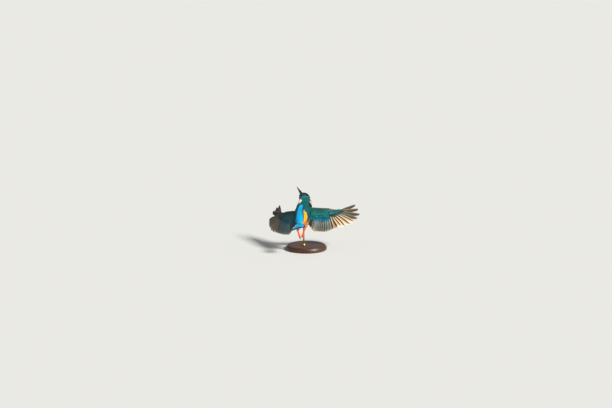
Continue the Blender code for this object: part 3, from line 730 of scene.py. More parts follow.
def markings(u, a, dye):
    """The kingfisher's colours at station u and angle a: linear colour, the tip's colour, and gloss.

    Each marking is a window in u and in the angle from the back's middle line, laid over the rufous
    underparts one after another: green mantle and scapulars, azure back and rump, crown, throat, ear
    patch, lores, malar stripe and neck patch.
    """
    deg = np.degrees(np.abs(a))
    base = np.broadcast_to(dye["rufous"], (*np.shape(deg), 3)).copy()
    # the sides turning under the body are painted a deeper orange: partly the flanks' deeper rufous, partly
    # painted shade
    base = paint(base, dye["rufous_deep"], 0.55 * ease(deg, 70, 100) * (1 - ease(deg, 120, 160)) * (u < 7))
    base = paint(base, dye["rufous_pale"], 0.5 * within(u, -4.5, 2.2, 0.8) * ease(deg, 100, 150))
    # painted highlight: a lighter gold-orange on the upper flanks beside the rump, as if lit by the key light
    base = paint(base, dye["flank_gold"], 0.85 * within(u, 0.6, 4.2, 0.6) * (1 - ease(deg, 62, 84)))
    tip, gloss = base * 1.06, np.zeros(np.shape(deg))

    def lay(over, over_tip, shine, weight):
        nonlocal base, tip, gloss
        base, tip = paint(base, dye[over], weight), paint(tip, dye[over_tip], weight)
        gloss = gloss + (shine - gloss) * weight

    back = inside(deg, np.interp(u, *GREEN_EDGE), 1.5) * (u < 3.95)
    front = ease(u, 3.75, 3.95) * (1 - ease(deg, 106, 112))
    edge = np.interp(u, *SCAPULAR_EDGE)
    scapular = within(u, 1.6, 7.2, 0.1) * ease(deg, edge - 2, edge + 2) * (1 - ease(deg, 112, 118))
    left_flank = within(u, 0.7, 4.0, 0.3) * (a < 0) * (1 - ease(deg, 92, 100))
    lay("mantle_green", "mantle_tip", 0.45, np.max([back, front, scapular, left_flank], 0))
    half = np.interp(u, *AZURE_HALF)
    aside = np.degrees(a) - np.interp(u, *AZURE_MIDDLE)
    azure = inside(np.abs(aside), half, 2.5)
    lay("azure", "azure_bright", 0.5, azure)
    # painted shade: the stripe's edges turn cobalt, more on the left side that faces away from the key light;
    # the cobalt of the tail coverts behind the rump is their own colour
    stripe_edge_shade = ease(np.abs(aside) / np.maximum(half, 1.0), 0.62, 1.0) * (0.4 + 0.6 * (aside < 0))
    lay("cobalt", "azure", 0.5, azure * np.maximum(1 - ease(u, -3.4, -1.2), stripe_edge_shade) * 0.8)
    head = ease(u, 7.3, 7.7)
    bar = ease(np.sin(2 * math.pi * (np.interp(u, *HEAD_MM) / BAR_PITCH + 0.1 * np.sin(5 * a))), 0.0, 0.35)
    crown = head * inside(deg, np.interp(u, *CROWN_EDGE), 2)
    side = head * (1 - crown)

    def patch(first, last, soft, low, high):
        return side * within(u, first, last, soft) * within(deg, low, high, 3)

    lay("crown", "crown", 0.4, crown)
    lay("crown_bar", "crown_bar", 0.4, crown * bar * 0.85)
    lay("white", "white", 0.0, side * ease(deg, 128, 136) * ease(u, 7.2, 7.8))
    inward = 13 * (1 - ease(u, 8.2, 9.4))
    lay("rufous", "rufous", 0.1, patch(8.3, 11.6, 0.25, 60 + inward, 103 - 0.5 * inward))
    lay("rufous", "rufous_pale", 0.1, patch(11.7, 13.4, 0.2, 50, 72))
    lay("loral_black", "loral_black", 0.2, patch(11.3, 14, 0.2, 76, 90))
    malar = patch(7.8, 13.3, 0.25, 106, 126)
    lay("malar", "malar", 0.4, malar)
    lay("crown_bar", "crown_bar", 0.4, malar * bar * 0.7)
    lay("white", "white", 0.0, neck_patch(u, a))
    return base, tip, gloss


def coat_rows(first, last, pitch, spacing, rng):
    """Staggered roots over the body from station first to last: pitch between rows, spacing in a row."""
    u, roots, odd = first, [], 0
    angle = np.linspace(-math.pi, math.pi, 200)
    while u < last:
        _, around = body_scale(np.full(200, u), angle)
        run = np.concatenate([[0], np.cumsum((around[1:] + around[:-1]) / 2 * np.diff(angle))])
        count = max(5, int(run[-1] / spacing(u)))
        a = np.interp((np.arange(count) + 0.5 * odd) / count * run[-1], run, angle)
        roots.append(np.stack([np.full(count, u), a], -1))
        scale, _ = body_scale(np.array([u]), np.array([1.2]))
        u, odd = u + pitch(u) / scale[0], 1 - odd
    roots = np.concatenate(roots)
    return roots + rng.normal(0, 1, roots.shape) * [[0.035, 0.02]]


ROOT_GAP = 0.60  # from root to root in a row, as a share of a feather's width


def coat_plan(first, last, pitch, long, wide, sizes, vary, rng):
    """Roots, sizes and turns of a stretch of coat; rows lie a pitch of a feather's length apart."""

    def size(u):
        return np.interp(u, *sizes)

    roots = coat_rows(first, last, lambda u: pitch * long * size(u), lambda u: ROOT_GAP * wide * size(u), rng)
    scale = size(roots[:, 0]) * (1 + rng.normal(0, vary, len(roots)))
    return roots, scale, rng.normal(0, 0.07, len(roots))


def coat_colours(leaf, base, tip, gloss, rng, bar=0.62, vary=0.055):
    """Colours for every vertex of each feather: base to tip, a darker shaft and a tone of its own."""
    s, c = leaf[0], leaf[1]
    share = (ease(s, bar - 0.12, bar + 0.14) * (1 - 0.6 * c**2))[None, :, None]
    tone = np.exp(rng.normal(0, vary, (len(base), 1, 1)))
    mixed = base[:, None] * (1 - share) + tip[:, None] * share
    root = 0.90 + 0.10 * ease(s, 0.1, 0.55)
    shaft = 1 - 0.06 * np.exp(-((c / 0.12) ** 2))
    return mixed * tone * (root * shaft)[None, :, None], gloss[:, None] * np.ones(len(s))


def lay_coat(name, look, slot, roots, leaf, size, lift, turn, dye, rng, keep=None, bar=0.62, **form):
    """Lays one joined mesh of contour feathers on the body: offsets become steps in u and angle."""
    u, a = roots[:, 0], roots[:, 1]
    per_u, per_a = body_scale(u, a)
    way = np.stack([-np.cos(turn), np.sin(turn)], -1)
    place, height = spread(leaf, way, *size, lift, rng, **form)
    uu = u[:, None] + place[..., 0] / per_u[:, None]
    aa = a[:, None] + place[..., 1] / per_a[:, None]
    points = body_point(uu, aa, height)
    outer = leaf[0] > 0.6  # the part that shows past the next row
    base, tip, gloss = markings(uu[:, outer].mean(1), wrap(aa[:, outer].mean(1)), dye)
    colours, gloss = coat_colours(leaf, base, tip, gloss, rng, bar)
    maps = tuft_maps(leaf, body_sheet(u, wrap(a)), *size)
    if keep is not None:
        chosen = keep(points)
        points, colours, gloss = points[chosen], colours[chosen], gloss[chosen]
        maps = {label: sheet[chosen] for label, sheet in maps.items()}
    return put_vanes(name, look, (), leaf, points, maps, colours, gloss)


def eye_centre(side):
    """Centre of the right (1) or left (-1) eye."""
    return HEAD_AT + HEAD @ (np.array(EYE_PLACE) * [side, 1, 1])


def clear_of_eyes(points):
    """Feathers whose every point stays outside the lids' rims."""
    gap = [np.linalg.norm(points - eye_centre(side), axis=-1).min(1) for side in (-1, 1)]
    return np.minimum(*gap) > EYE_RADIUS + 0.15


SKIN_DEPTH = (-1, 0, 6, 8, 11, 14), (0.7, 1.5, 1.7, 1.2, 0.8, 0.3)  # stations, share of the coat's depth


def skin_shell(rings, sides, depth):
    """The body's skin as a closed grid: rings along the spine at a depth, drawn to a point at each end.

    A brow over each eye and a cheek behind it are raised as bumps, exp(-x^2), in u and in the angle.
    """
    u = np.concatenate([[-0.75], np.linspace(-0.7, LAST - 0.02, rings), [LAST + 0.01]])
    a = np.linspace(-math.pi, math.pi, sides, endpoint=False)
    uu, aa = np.meshgrid(u, a, indexing="ij")
    deg = np.degrees(np.abs(aa))
    inset = np.interp(uu, *SKIN_DEPTH) * depth
    brow = 0.5 * np.exp(-(((uu - 11.1) / 0.9) ** 2) - ((deg - 46) / 12) ** 2)
    cheek = 0.4 * np.exp(-(((uu - 9.8) / 1.0) ** 2) - ((deg - 104) / 16) ** 2)
    points = body_point(uu, aa, -inset + brow + cheek)
    points[0], points[-1] = points[1].mean(0), points[-2].mean(0)
    return uu, aa, points


def skin_tones(sheet, dye):
    """The skin's linear colour at places on the sheet: the coat's markings, dark arms above, rufous below."""
    u, v = sheet[:, 0], sheet[:, 1]
    _, low, _, high = SHEET["body"]
    tone, _, _ = markings(FIRST + u * (LAST - FIRST), ((v - low) / high - 0.5) * 2 * math.pi, dye)
    wing = np.where((np.floor(u * 4) % 2 == 0)[:, None], dye["covert_dark"], dye["rufous"])
    tone = np.where((v < low)[:, None], wing, tone)
    return np.where((v < SHEET["wing"][1])[:, None], dye["rufous"], tone) * 0.8


def tube_faces(rings, sides, ring_closed=False):
    """Quads of a grid of rings that closes round each ring and, for a torus, from the last to the first."""
    i, j = np.meshgrid(np.arange(rings - 1 + ring_closed), np.arange(sides), indexing="ij")
    here, next_ring, after = i * sides, (i + 1) % rings * sides, (j + 1) % sides
    return np.stack([here + j, here + after, next_ring + after, next_ring + j], -1).reshape(-1, 4)


def weld(piece):
    """Merges the doubles at poles and seams and turns the faces outwards."""
    shape = bmesh.new()
    shape.from_mesh(piece.data)
    bmesh.ops.remove_doubles(shape, verts=shape.verts, dist=2e-6)
    bmesh.ops.dissolve_degenerate(shape, edges=shape.edges, dist=1e-7)
    bmesh.ops.recalc_face_normals(shape, faces=shape.faces)
    shape.to_mesh(piece.data)
    shape.free()
    piece.data.shade_smooth()
    return piece


def wing_shell(wing, rows, columns, depth=0.75):
    """The wing's skin: a closed leaf over hand and arm, thinner than the CAD flesh by a depth each side."""
    leaf = shell(np.linspace(0, 1, rows) ** 1.6, np.linspace(-1, 1, columns))
    s, c, side, _ = leaf
    t = np.interp(c, (-1, 1), (0.25, 22.0))
    front, end = chord_at(wing, t)
    half = np.maximum(flesh_half(t, s * 0.97) - depth, 0.25)
    return leaf, t, wing_point(wing, front + (end - front) * (s * 0.97)[:, None], side * half)


def thigh_frame(leg):
    """Hip, heel and two unit vectors across the tibia between them."""
    hip, heel = (np.array(p, float) for p in leg[:2])
    return hip, heel, *cross_axes(unit(heel - hip))


def thigh_point(leg, s, a, height=0.0):
    """The feathered tibia: a cone from hip (s = 0) to heel (s = 1), its radius read from a table."""
    hip, heel, across, other = thigh_frame(leg)
    radius = np.interp(s, (*TIBIA_AT, 1.15), (*TIBIA_RADII, 1.3)) + height
    middle = CENTRE + hip + (heel - hip) * np.asarray(s)[..., None]
    return middle + (across * np.cos(a)[..., None] + other * np.sin(a)[..., None]) * radius[..., None]


FLIGHT_ROWS = np.concatenate([[0.0, 0.04], np.linspace(0.10, 0.80, 11), [0.86, 0.91, 0.95, 0.98, 1.0]])
FLIGHT_COLUMNS = np.array([-1, -0.88, -0.70, -0.52, -0.34, -0.18, -0.07, 0, 0.07, 0.25, 0.5, 0.75, 0.9, 1])
SHAFT_HEIGHT, VANE_THICKNESS = 0.20, 0.09

# Colours across a flight feather from its inner edge (-1) over the shaft (0) to its outer edge (1). The cream
# bands are partly the webs' pale edges, partly painted light shining through the thin vanes.
INNER_PRIMARY = (
    (-1, "quill_cream"), (-0.66, "quill_cream"), (-0.5, "quill_buff"), (-0.2, "quill_buff"),
    (-0.1, "quill_brown"), (0, "quill_dark"), (0.1, "quill_dark"), (0.25, "primary_web"),
    (0.6, "primary_web"), (0.85, "quill_cream"), (1, "quill_cream"),
)
OUTER_PRIMARY = (
    (-1, "quill_buff"), (-0.93, "quill_brown"), (-0.45, "quill_brown"), (-0.2, "primary_web"),
    (0, "quill_dark"), (0.07, "quill_buff"), (0.22, "primary_web"), (0.7, "primary_web"),
    (0.9, "quill_buff"), (1, "quill_buff"),
)
SECONDARY = (
    (-1, "quill_cream"), (-0.5, "quill_cream"), (-0.25, "quill_buff"), (-0.09, "quill_buff"),
    (-0.04, "quill_brown"), (0.04, "quill_dark"), (0.12, "secondary_web"), (0.6, "secondary_web"),
    (1, "secondary_edge"),
)
SECONDARY_LAST = (
    (-1, "quill_cream"), (-0.2, "quill_buff"), (0, "quill_dark"), (0.15, "tertial_web"), (1, "tertial_web"),
)
TERTIAL = ((-1, "quill_dark"), (0, "quill_dark"), (0.15, "tertial_web"), (1, "tertial_web"))
SCAPULAR = (
    (-1, "mantle_green"), (-0.1, "mantle_green"), (0, "quill_dark"), (0.1, "mantle_green"), (1, "mantle_tip"),
)
ALULA = ((-1, "quill_dark"), (0, "quill_dark"), (0.1, "covert_dark"), (1, "covert"))
TAIL_WEB = (
    (-1, "tail_inner"), (-0.2, "tail_inner"), (0, "quill_dark"), (0.1, "tail_blue"), (1, "tail_blue"),
)
# Piece, first and last count, bands of its first and last feathers, the counts between which they change
# over, how far the tips are painted cream as a glow of light through them, and slot
FANS = (
    ("primaries", 0, 10, (OUTER_PRIMARY, INNER_PRIMARY), (3.2, 5.2), 0.35, "flight_feather_dark"),
    ("secondaries", 10, 19, (SECONDARY, TERTIAL), (19.0, 20.5), 0.5, "flight_feather_dark"),
    ("tertials", 19, 26, (SECONDARY_LAST, SCAPULAR), (19.8, 20.6), 0.0, "wing_green_blue"),
)
# By count: the widest that the outer and the inner web may grow, where the tip starts to close as a
# share of the length, how round it closes, and how much the feather bows back
WEB_AT = (0, 2, 5, 10, 19, 22, 26)
OUTER_WEB = WEB_AT, (2.6, 3.2, 3.6, 3.2, 3.6, 4.2, 3.8)
INNER_WEB = WEB_AT, (7.0, 9.0, 9.2, 7.4, 7.2, 5.6, 4.4)
TIP_FROM = (0, 4, 10, 22), (0.60, 0.70, 0.78, 0.66)
TIP_POWER = (0, 10), (2.0, 2.6)
BOW = (0, 10, 22), (1.0, 0.4, 0.2)


def fan_maps(leaf, count, across, along):
    """OFBake: a strip for each side of each feather. Vane: mm across and along each feather."""
    s, c, _, faces = leaf
    strip = 2 * np.arange(count)[:, None, None] + (np.arange(len(faces)) >= len(faces) // 2)[None, :, None]
    u = (strip + 0.5 + 0.46 * c[faces][None]) / (2 * count)
    v = np.broadcast_to(0.01 + 0.98 * s[faces][None], u.shape)
    return {"OFBake": np.stack([u, v], -1), "Vane": np.stack([across, along], -1)}


def across_web(c, bands, dye):
    """Colours across a vane from inner edge (c = -1) to outer edge (1), straight between the bands' stops."""
    stops = [stop for stop, _ in bands]
    tones = np.array([dye[name] for _, name in bands])
    return np.stack([np.interp(c, stops, tones[:, i]) for i in range(3)], -1)


def vane_colours(leaf, count, share, outer, inner, dye, rng, tip_glow=0.0):
    """Flight feathers' colours: bands across the web, mixed from outer to inner feathers' by share.

    The quill end is darker, the tip is painted towards cream as a glow of light through the thin vane, and
    the underside is grey with the same bands showing through faintly.
    """
    s, c, side, _ = leaf
    share = np.broadcast_to(share, (count,))[:, None, None]
    colours = across_web(c, outer, dye)[None] * (1 - share) + across_web(c, inner, dye)[None] * share
    colours = colours * (0.75 + 0.25 * ease(s, 0.1, 0.4))[None, :, None]
    tip_glow = np.broadcast_to(tip_glow, (count,))[:, None]
    # painted light: the tips glow cream as if lit through from behind
    colours = paint(colours, dye["quill_cream"], tip_glow * ease(s, 0.80, 1.0) * (0.4 + 0.6 * np.abs(c)))
    below = 0.65 * dye["under_grey"] + 0.35 * colours
    colours = np.where((side < 0)[None, :, None], below, colours)
    return colours * np.exp(rng.normal(0, 0.11, (count, 1, 1)))


def flight_webs(leaf, wing, t, reach, rng):
    """Distance in mm of each vane's vertices from its shaft, inner web below 0 and outer web above.

    A web is as wide as the fan opens at that distance from the quills, up to a limit. It swells from
    the quill, steps in at a notch on the outermost feathers, and closes as an ellipse at the tip.
    """
    s, c, side, _ = leaf
    root, way, _ = fan_at(wing, t)

    def opening(step):
        other, other_way, _ = fan_at(wing, np.clip(t + step, *FAN_ENDS))
        gap = other[:, None] + other_way[:, None] * reach[..., None]
        gap = gap - root[:, None] - way[:, None] * reach[..., None]
        return np.abs((gap * left_of(way)[:, None]).sum(-1))

    def at(table):
        return np.interp(t, *table)[:, None]

    outer = np.minimum(at(OUTER_WEB) * wing["cover"], 0.38 * wing["cover"] * opening(-1.0) + 0.5)
    inner = np.minimum(at(INNER_WEB), 1.10 * opening(1.0) + 1.6)
    close = np.clip((s - at(TIP_FROM)) / (1.0 - at(TIP_FROM)), 0, 1)
    taper = np.sqrt(np.clip(1 - close ** at(TIP_POWER), 0.001, 1))
    outer = outer * (1 - 0.25 * ease(s, 0.45, 0.62) * (1 - ease(t, 2.5, 5.5))[:, None])
    inner = inner * (1 - 0.15 * ease(s, 0.55, 0.75) * (1 - ease(t, 3.0, 6.0))[:, None])
    swell = 0.22 + 0.78 * ease(s, 0.0, 0.22)
    fray = rng.normal(0, 0.10, (len(t), len(s))) * (side == 0)
    return c * (np.where(c > 0, outer, inner) * swell + fray) * taper


def flight_fan(name, look, nodes, wing, first, last, dye, rng, bands, mix, tip_glow):
    """Flight feathers of a wing from count first to last, as curved closed vanes that overlap as louvres.

    Every outer web lies over the inner web of the next feather out. A raised shaft runs down the
    middle and the edges ripple a little, each feather's in its own phase.
    """
    leaf = shell(FLIGHT_ROWS, FLIGHT_COLUMNS)
    s, c, side, _ = leaf
    t = np.arange(first, last) + 0.5
    root, way, length = fan_at(wing, t)
    start = 0.07
    reach = length[:, None] * (start + (1 - start) * s)
    across = flight_webs(leaf, wing, t, reach, rng)
    bow = length[:, None] * (0.035 * (s - 0.4) ** 2) * np.interp(t, *BOW)[:, None]
    plane = root[:, None] + way[:, None] * (reach + 0.12 * np.abs(across))[..., None]
    plane = plane + left_of(way)[:, None] * (across - bow)[..., None]
    shaft = np.exp(-((c / 0.055) ** 2)) * (1 - 0.8 * s)
    louvre = 0.30 * c * ease(s, 0.0, 0.25)
    height = louvre - 0.25 * c**2 * (1 - 0.5 * s) + side * (VANE_THICKNESS + SHAFT_HEIGHT * shaft)
    height = height + 0.10 * np.sin(9 * s + t[:, None] * 2.1) * np.abs(c) * ease(s, 0.4, 0.9)
    points = wing_point(wing, plane, height)
    colours = vane_colours(leaf, len(t), ease(t, *mix), *bands, dye, rng, tip_glow * ease(t, 2.5, 5.0))
    gloss = 0.35 * ease(c, -0.2, 0.2)[None]
    maps = fan_maps(leaf, len(t), across, reach)
    # painted shade: the wing's tone darkens its feathers' colours
    return put_vanes(name, look, nodes, leaf, points, maps, colours * wing["tone"], gloss)


# Rows of coverts: first and last count, chord share of the root, length, width, turn (degrees), lift
# of the root and of the tip, colour of the vane, of its tip, and how much of the tip's colour shows
BACK_ROWS = [
    (0.5, 9.9, 0.30, 16.5, 5.6, 0, -0.3, 0.50, "covert_dark", "covert", 0.5),
    (9.9, 25.6, 0.62, 16.0, 6.8, 2, -0.3, 0.60, "covert_blue", "covert_sheen", 1.0),
    (0.6, 9.9, 0.10, 11.5, 4.6, 2, -0.4, 0.75, "covert_dark", "covert_sheen", 0.6),
    (9.7, 25.6, 0.43, 10.5, 5.2, 4, -0.8, 0.55, "covert", "covert_spot", 0.8),
    (6.5, 25.6, 0.32, 8.0, 4.4, 6, -0.9, 0.45, "covert", "covert_spot", 0.8),
    (5.0, 25.6, 0.24, 6.8, 3.9, 8, -0.9, 0.40, "covert_dark", "covert_spot", 0.7),
    (3.5, 25.6, 0.17, 5.8, 3.4, 8, -0.8, 0.36, "covert_dark", "covert_spot", 0.6),
    (2.0, 25.6, 0.115, 5.0, 3.0, 8, -0.7, 0.32, "covert_dark", "covert_spot", 0.5),
    (0.4, 25.6, 0.070, 4.2, 2.7, 8, -0.6, 0.28, "covert_dark", "covert_spot", 0.4),
    (0.2, 25.6, 0.035, 3.6, 2.4, 8, -0.5, 0.24, "covert_dark", "covert", 0.5),
    (0.1, 9.0, 0.004, 3.2, 2.2, 8, -0.2, 0.20, "quill_brown", "edge_buff", 0.75),
    (9.0, 25.6, 0.004, 3.2, 2.2, 8, -0.2, 0.20, "covert_dark", "covert", 0.5),
]
UNDER_ROWS = [
    (0.5, 9.9, 0.26, 14.5, 5.4, 0, -0.3, 0.45, "under_grey", "under_grey", 1.0),
    (10.1, 25.6, 0.56, 14.0, 6.8, 0, -0.3, 0.55, "rufous_pale", "rufous_pale", 1.0),
    (0.6, 9.9, 0.10, 9.5, 4.4, 0, -0.4, 0.60, "rufous_pale", "rufous_pale", 1.0),
    (10.0, 25.6, 0.38, 10.0, 5.2, 0, -0.7, 0.50, "rufous", "rufous_pale", 1.0),
    (5.0, 25.6, 0.25, 8.0, 4.4, 0, -0.8, 0.40, "rufous", "rufous_pale", 1.0),
    (3.0, 25.6, 0.15, 6.5, 3.8, 0, -0.7, 0.35, "rufous", "rufous_pale", 1.0),
    (1.0, 25.6, 0.08, 5.2, 3.2, 0, -0.6, 0.30, "rufous", "rufous", 1.0),
    (0.2, 25.6, 0.035, 4.0, 2.6, 0, -0.4, 0.25, "rufous", "rufous", 1.0),
    (0.1, 25.6, 0.004, 3.2, 2.2, 0, -0.2, 0.20, "rufous", "edge_buff", 1.0),
]
# Each side of a wing: name, slot, rows, which way is out, how much the vanes' tones vary, and gloss
COVERTS = (
    ("coverts_back", "wing_green_blue", BACK_ROWS, 1, 0.14, 0.4),
    ("coverts_under", "belly_rufous", UNDER_ROWS, -1, 0.07, 0.0),
)
COVERT_LEAF = shell(np.array([0, 0.3, 0.6, 0.82, 0.94, 1.0]), np.array([-1, -0.6, -0.2, 0.2, 0.6, 1]))
COVERT_SIZE = (0, 10, 18, 22), (0.85, 1.0, 1.0, 0.72)
COVERT_GAP = 0.56  # from root to root in a row, as a share of a covert's width


def counts_along(wing, first, last, share, gap):
    """Feather counts from first to last whose roots, at a share of the chord, stand a gap in mm apart."""
    fine = np.linspace(first, last, 400)
    front, end = chord_at(wing, fine)
    row = front + (end - front) * share
    run = np.concatenate([[0], np.cumsum(np.linalg.norm(np.diff(row, axis=0), axis=-1))])
    return np.interp(np.arange(gap / 2, run[-1], gap), run, fine)


def covert_row(wing, row, way_up, vary, shine, sheet_side, dye, rng):
    """One row of coverts on a side of a wing: points, colours, gloss and maps."""
    first, last, share, length, width, turn, low, high, base, tip, show = row
    t = counts_along(wing, first, last, share, COVERT_GAP * width)
    t = np.clip(t + rng.normal(0, 0.05, t.shape), *FAN_ENDS)
    front, end = chord_at(wing, t)
    lie = np.arctan2(*(end - front).T[::-1]) - math.radians(turn) + rng.normal(0, 0.05, t.shape)
    small = np.interp(t, *COVERT_SIZE)
    size = length * small * (1 + rng.normal(0, 0.06, t.shape)), width * small
    form = {"roll": -0.08, "fringe": 0.012, "round_tip": 0.075}
    place, height = spread(COVERT_LEAF, direction(lie), *size, (low, high), rng, **form)
    chord = np.linalg.norm(end - front, axis=-1)[:, None]
    height = flesh_half(t[:, None], share + np.sqrt((place**2).sum(-1)) / chord) + height
    points = wing_point(wing, (front + (end - front) * share)[:, None] + place, way_up * height)
    vane = np.tile(dye[base], (len(t), 1))
    shown = show * (1 if way_up < 0 else rng.uniform(0.35, 1.0, len(t)))
    gloss = np.full(len(t), shine)
    colours, gloss = coat_colours(COVERT_LEAF, vane, paint(vane, dye[tip], shown), gloss, rng, 0.74, vary)
    sheet = on_sheet("wing", (t / FAN_COUNT + sheet_side) / 4, np.full(len(t), min(share, 0.99)))
    return points, colours, gloss, tuft_maps(COVERT_LEAF, sheet, *size)


def lay_wing(name, look, slot, wing, rows, way_up, vary, shine, sheet_side, dye, rng):
    """One side's coverts of a wing as one joined mesh, row by row from the flight feathers forward."""
    laid = [covert_row(wing, row, way_up, vary, shine, sheet_side, dye, rng) for row in rows]
    points, colours, gloss = (np.concatenate([row[i] for row in laid]) for i in range(3))
    maps = {label: np.concatenate([row[3][label] for row in laid]) for label in laid[0][3]}
    # painted shade: the coverts on the wing's back are darkened by the wing's tone, and the underside is left
    # as it is
    colours = colours * (wing["tone"] if way_up > 0 else 1.0)
    return put_vanes(name, look, (), COVERT_LEAF, points, maps, colours, gloss)


def alula(name, look, wing, dye, rng):
    """Three small stiff quills of the thumb along the hand's front edge, one over the next."""
    leaf = shell(np.linspace(0, 1, 8), np.linspace(-1, 1, 7))
    s, c, _, _ = leaf
    k = np.arange(3)
    root = np.array([[45.5, 2.6]]) + k[:, None] * np.array([[-0.6, -1.1]])
    way = direction(np.radians(-14 - 7 * k))
    length, width = 13.5 - 1.8 * k, 3.4 + 0.2 * k
    place, height = spread(leaf, way, length, width, (0.9, 1.9), rng, roll=0.15, fringe=0.02)
    points = wing_point(wing, root[:, None] + place, height - 0.35 * k[:, None])
    colours = vane_colours(leaf, len(k), 0, ALULA, ALULA, dye, rng)
    maps = fan_maps(leaf, len(k), c * width[:, None] / 2, s * length[:, None])
    return put_vanes(name, look, (), leaf, points, maps, colours, 0.4)


def tail_fan(name, look, dye, rng):
    """Twelve tail feathers from one root, spread by equal angles, the middle pair on top."""
    leaf = shell(FLIGHT_ROWS, FLIGHT_COLUMNS)
    s, c, side, _ = leaf
    place = (np.arange(TAIL_FEATHERS) + 0.5)[:, None] / TAIL_FEATHERS * 2 - 1
    lie = np.radians(TAIL_HALF_SPREAD * place)
    reach = TAIL_LENGTH * (1 - 0.05 * place**2) * s
    web = np.where(c > 0, 2.5, 3.3) * (0.35 + 0.65 * ease(s, 0, 0.45))
    close = np.clip((s - 0.86) / 0.14, 0, 1)
    fray = rng.normal(0, 0.07, (TAIL_FEATHERS, len(s))) * (side == 0)
    across = c * (web + fray) * np.sqrt(np.clip(1 - close**2.4, 0.001, 1))
    aside = across * np.sign(place)
    right = place * TAIL_BASE / 2 + reach * np.sin(lie) + aside * np.cos(lie)
    back = reach * np.cos(lie) - aside * np.sin(lie) - 2.5
    shaft = np.exp(-((c / 0.06) ** 2)) * (1 - 0.8 * s)
    height = 0.35 - 0.75 * np.abs(place) - 0.22 * c * ease(s, 0, 0.2)
    height = height + side * (VANE_THICKNESS + 0.18 * shaft)
    points = tail_point(right, back, height - 0.15 * c**2)
    colours = vane_colours(leaf, TAIL_FEATHERS, 0, TAIL_WEB, TAIL_WEB, dye, rng)
    maps = fan_maps(leaf, TAIL_FEATHERS, across, reach)
    return put_vanes(name, look, ("tail",), leaf, points, maps, colours, 0.6)


def ring_mesh(name, rings, colours=None, uvs=None, look=None, nodes=()):
    """A closed tube through rings (R, S, 3), each end drawn to its middle point; welded and turned out."""
    first, last = (np.broadcast_to(end.mean(0), end.shape)[None] for end in (rings[0], rings[-1]))
    full = np.concatenate([first, rings, last])
    count, sides = full.shape[:2]
    if colours is not None:
        colours = np.concatenate([colours[:1], colours, colours[-1:]]).reshape(1, -1, 3)
    maps = {k: np.concatenate([v[:1], v, v[-1:]]).reshape(1, -1, 2) for k, v in (uvs or {}).items()}
    piece = put_mesh(name, full.reshape(1, -1, 3), tube_faces(count, sides), maps, colours, closed=False)
    weld(piece)
    return finish_piece(piece, look, nodes) if look else piece


def join(pieces, name):
    """Joins meshes into the first and names it."""
    chosen = {"selected_editable_objects": pieces, "selected_objects": pieces}
    with bpy.context.temp_override(active_object=pieces[0], **chosen):
        bpy.ops.object.join()
    pieces[0].name = name
    pieces[0].data.name = name
    return pieces[0]


def tube(path, radii, sides):
    """Round rings across a path, with the radius at each point."""
    across, other = cross_axes(unit(np.gradient(path, axis=0)))
    return path[:, None] + ring_round(across, other, circle(sides)) * np.asarray(radii)[:, None, None]


NOSTRIL_AT, NOSTRIL_ANGLE, NOSTRIL_DEPTH = 2.6, 0.95, 0.22  # mm from the root, radians, share pressed in
BILL_ROUND = 12  # mm round a mandible, for its pattern


def bill_rings(way, length, ridge):
    """One mandible: a half-round section on the gape plane that swells, then tapers to the tip.

    Width and depth follow (1 - t)^0.92 times one plus a tenth of a sine bow; the ridge pinches the
    outer side into a keel and the nostril is a slit pressed in near the root of the upper one.
    """
    hidden = np.array([-3.2, -2.0, -0.8])  # mm behind the bill's root, inside the head
    t = np.linspace(0, 1, BILL_ROWS) ** 1.15
    ahead = np.concatenate([hidden, t * length])[:, None]
    t = np.concatenate([np.zeros(len(hidden)), t])[:, None]
    swell = (1 - t) ** 0.92 * (1 + 0.10 * np.sin(math.pi * t))
    wide = BILL_TIP + (BILL_HALF_WIDTH - BILL_TIP) * swell
    deep = BILL_TIP + (BILL_HALF_DEPTH - BILL_TIP) * swell
    flat, arc = np.linspace(-1, 1, BILL_FLAT)[1:-1], np.linspace(0, math.pi, BILL_ARC)
    right = wide * np.concatenate([np.cos(arc), flat])
    arc = np.concatenate([arc, np.zeros(len(flat))])
    up = 0.07 + deep * np.abs(np.sin(arc)) ** ridge
    if way > 0:
        slit = np.exp(-(((ahead - NOSTRIL_AT) / 1.3) ** 2))
        at = sum(np.exp(-(((arc - place) / 0.13) ** 2)) for place in (NOSTRIL_ANGLE, math.pi - NOSTRIL_ANGLE))
        press = 1 - NOSTRIL_DEPTH * slit * at
        right, up = right * press, up * press
    along = np.broadcast_to(ahead, right.shape)
    ring = HEAD_AT + np.stack([right, BILL_START + along, way * up], -1) @ HEAD.T
    around = np.broadcast_to(np.linspace(0, BILL_ROUND, right.shape[1]), right.shape)
    return ring, np.stack([around, along], -1), t[:, 0]


def eye_axes(side):
    """The eye's outward axis and two unit vectors across it, towards the bill and the crown."""
    axis = unit(HEAD @ np.array([side * 1.0, 0.16, 0.05]))
    ahead = unit(HEAD[:, 1] - axis * (HEAD[:, 1] @ axis))
    return axis, ahead, np.cross(axis, ahead)


def eye_rings(side):
    """An eyeball about its outward axis with a raised cornea, as rings from front to back."""
    axis, ahead, high = eye_axes(side)
    phi = np.concatenate([[0.02], np.linspace(0.08, math.pi - 0.05, EYE_GRID[0])])
    radius = EYE_RADIUS * (1 + 0.035 * np.exp(-((phi / 0.55) ** 2)))
    ring = ring_round(ahead, high, circle(EYE_GRID[1]))
    points = axis * np.cos(phi)[:, None, None] + ring[None] * np.sin(phi)[:, None, None]
    return eye_centre(side) + points * radius[:, None, None], phi


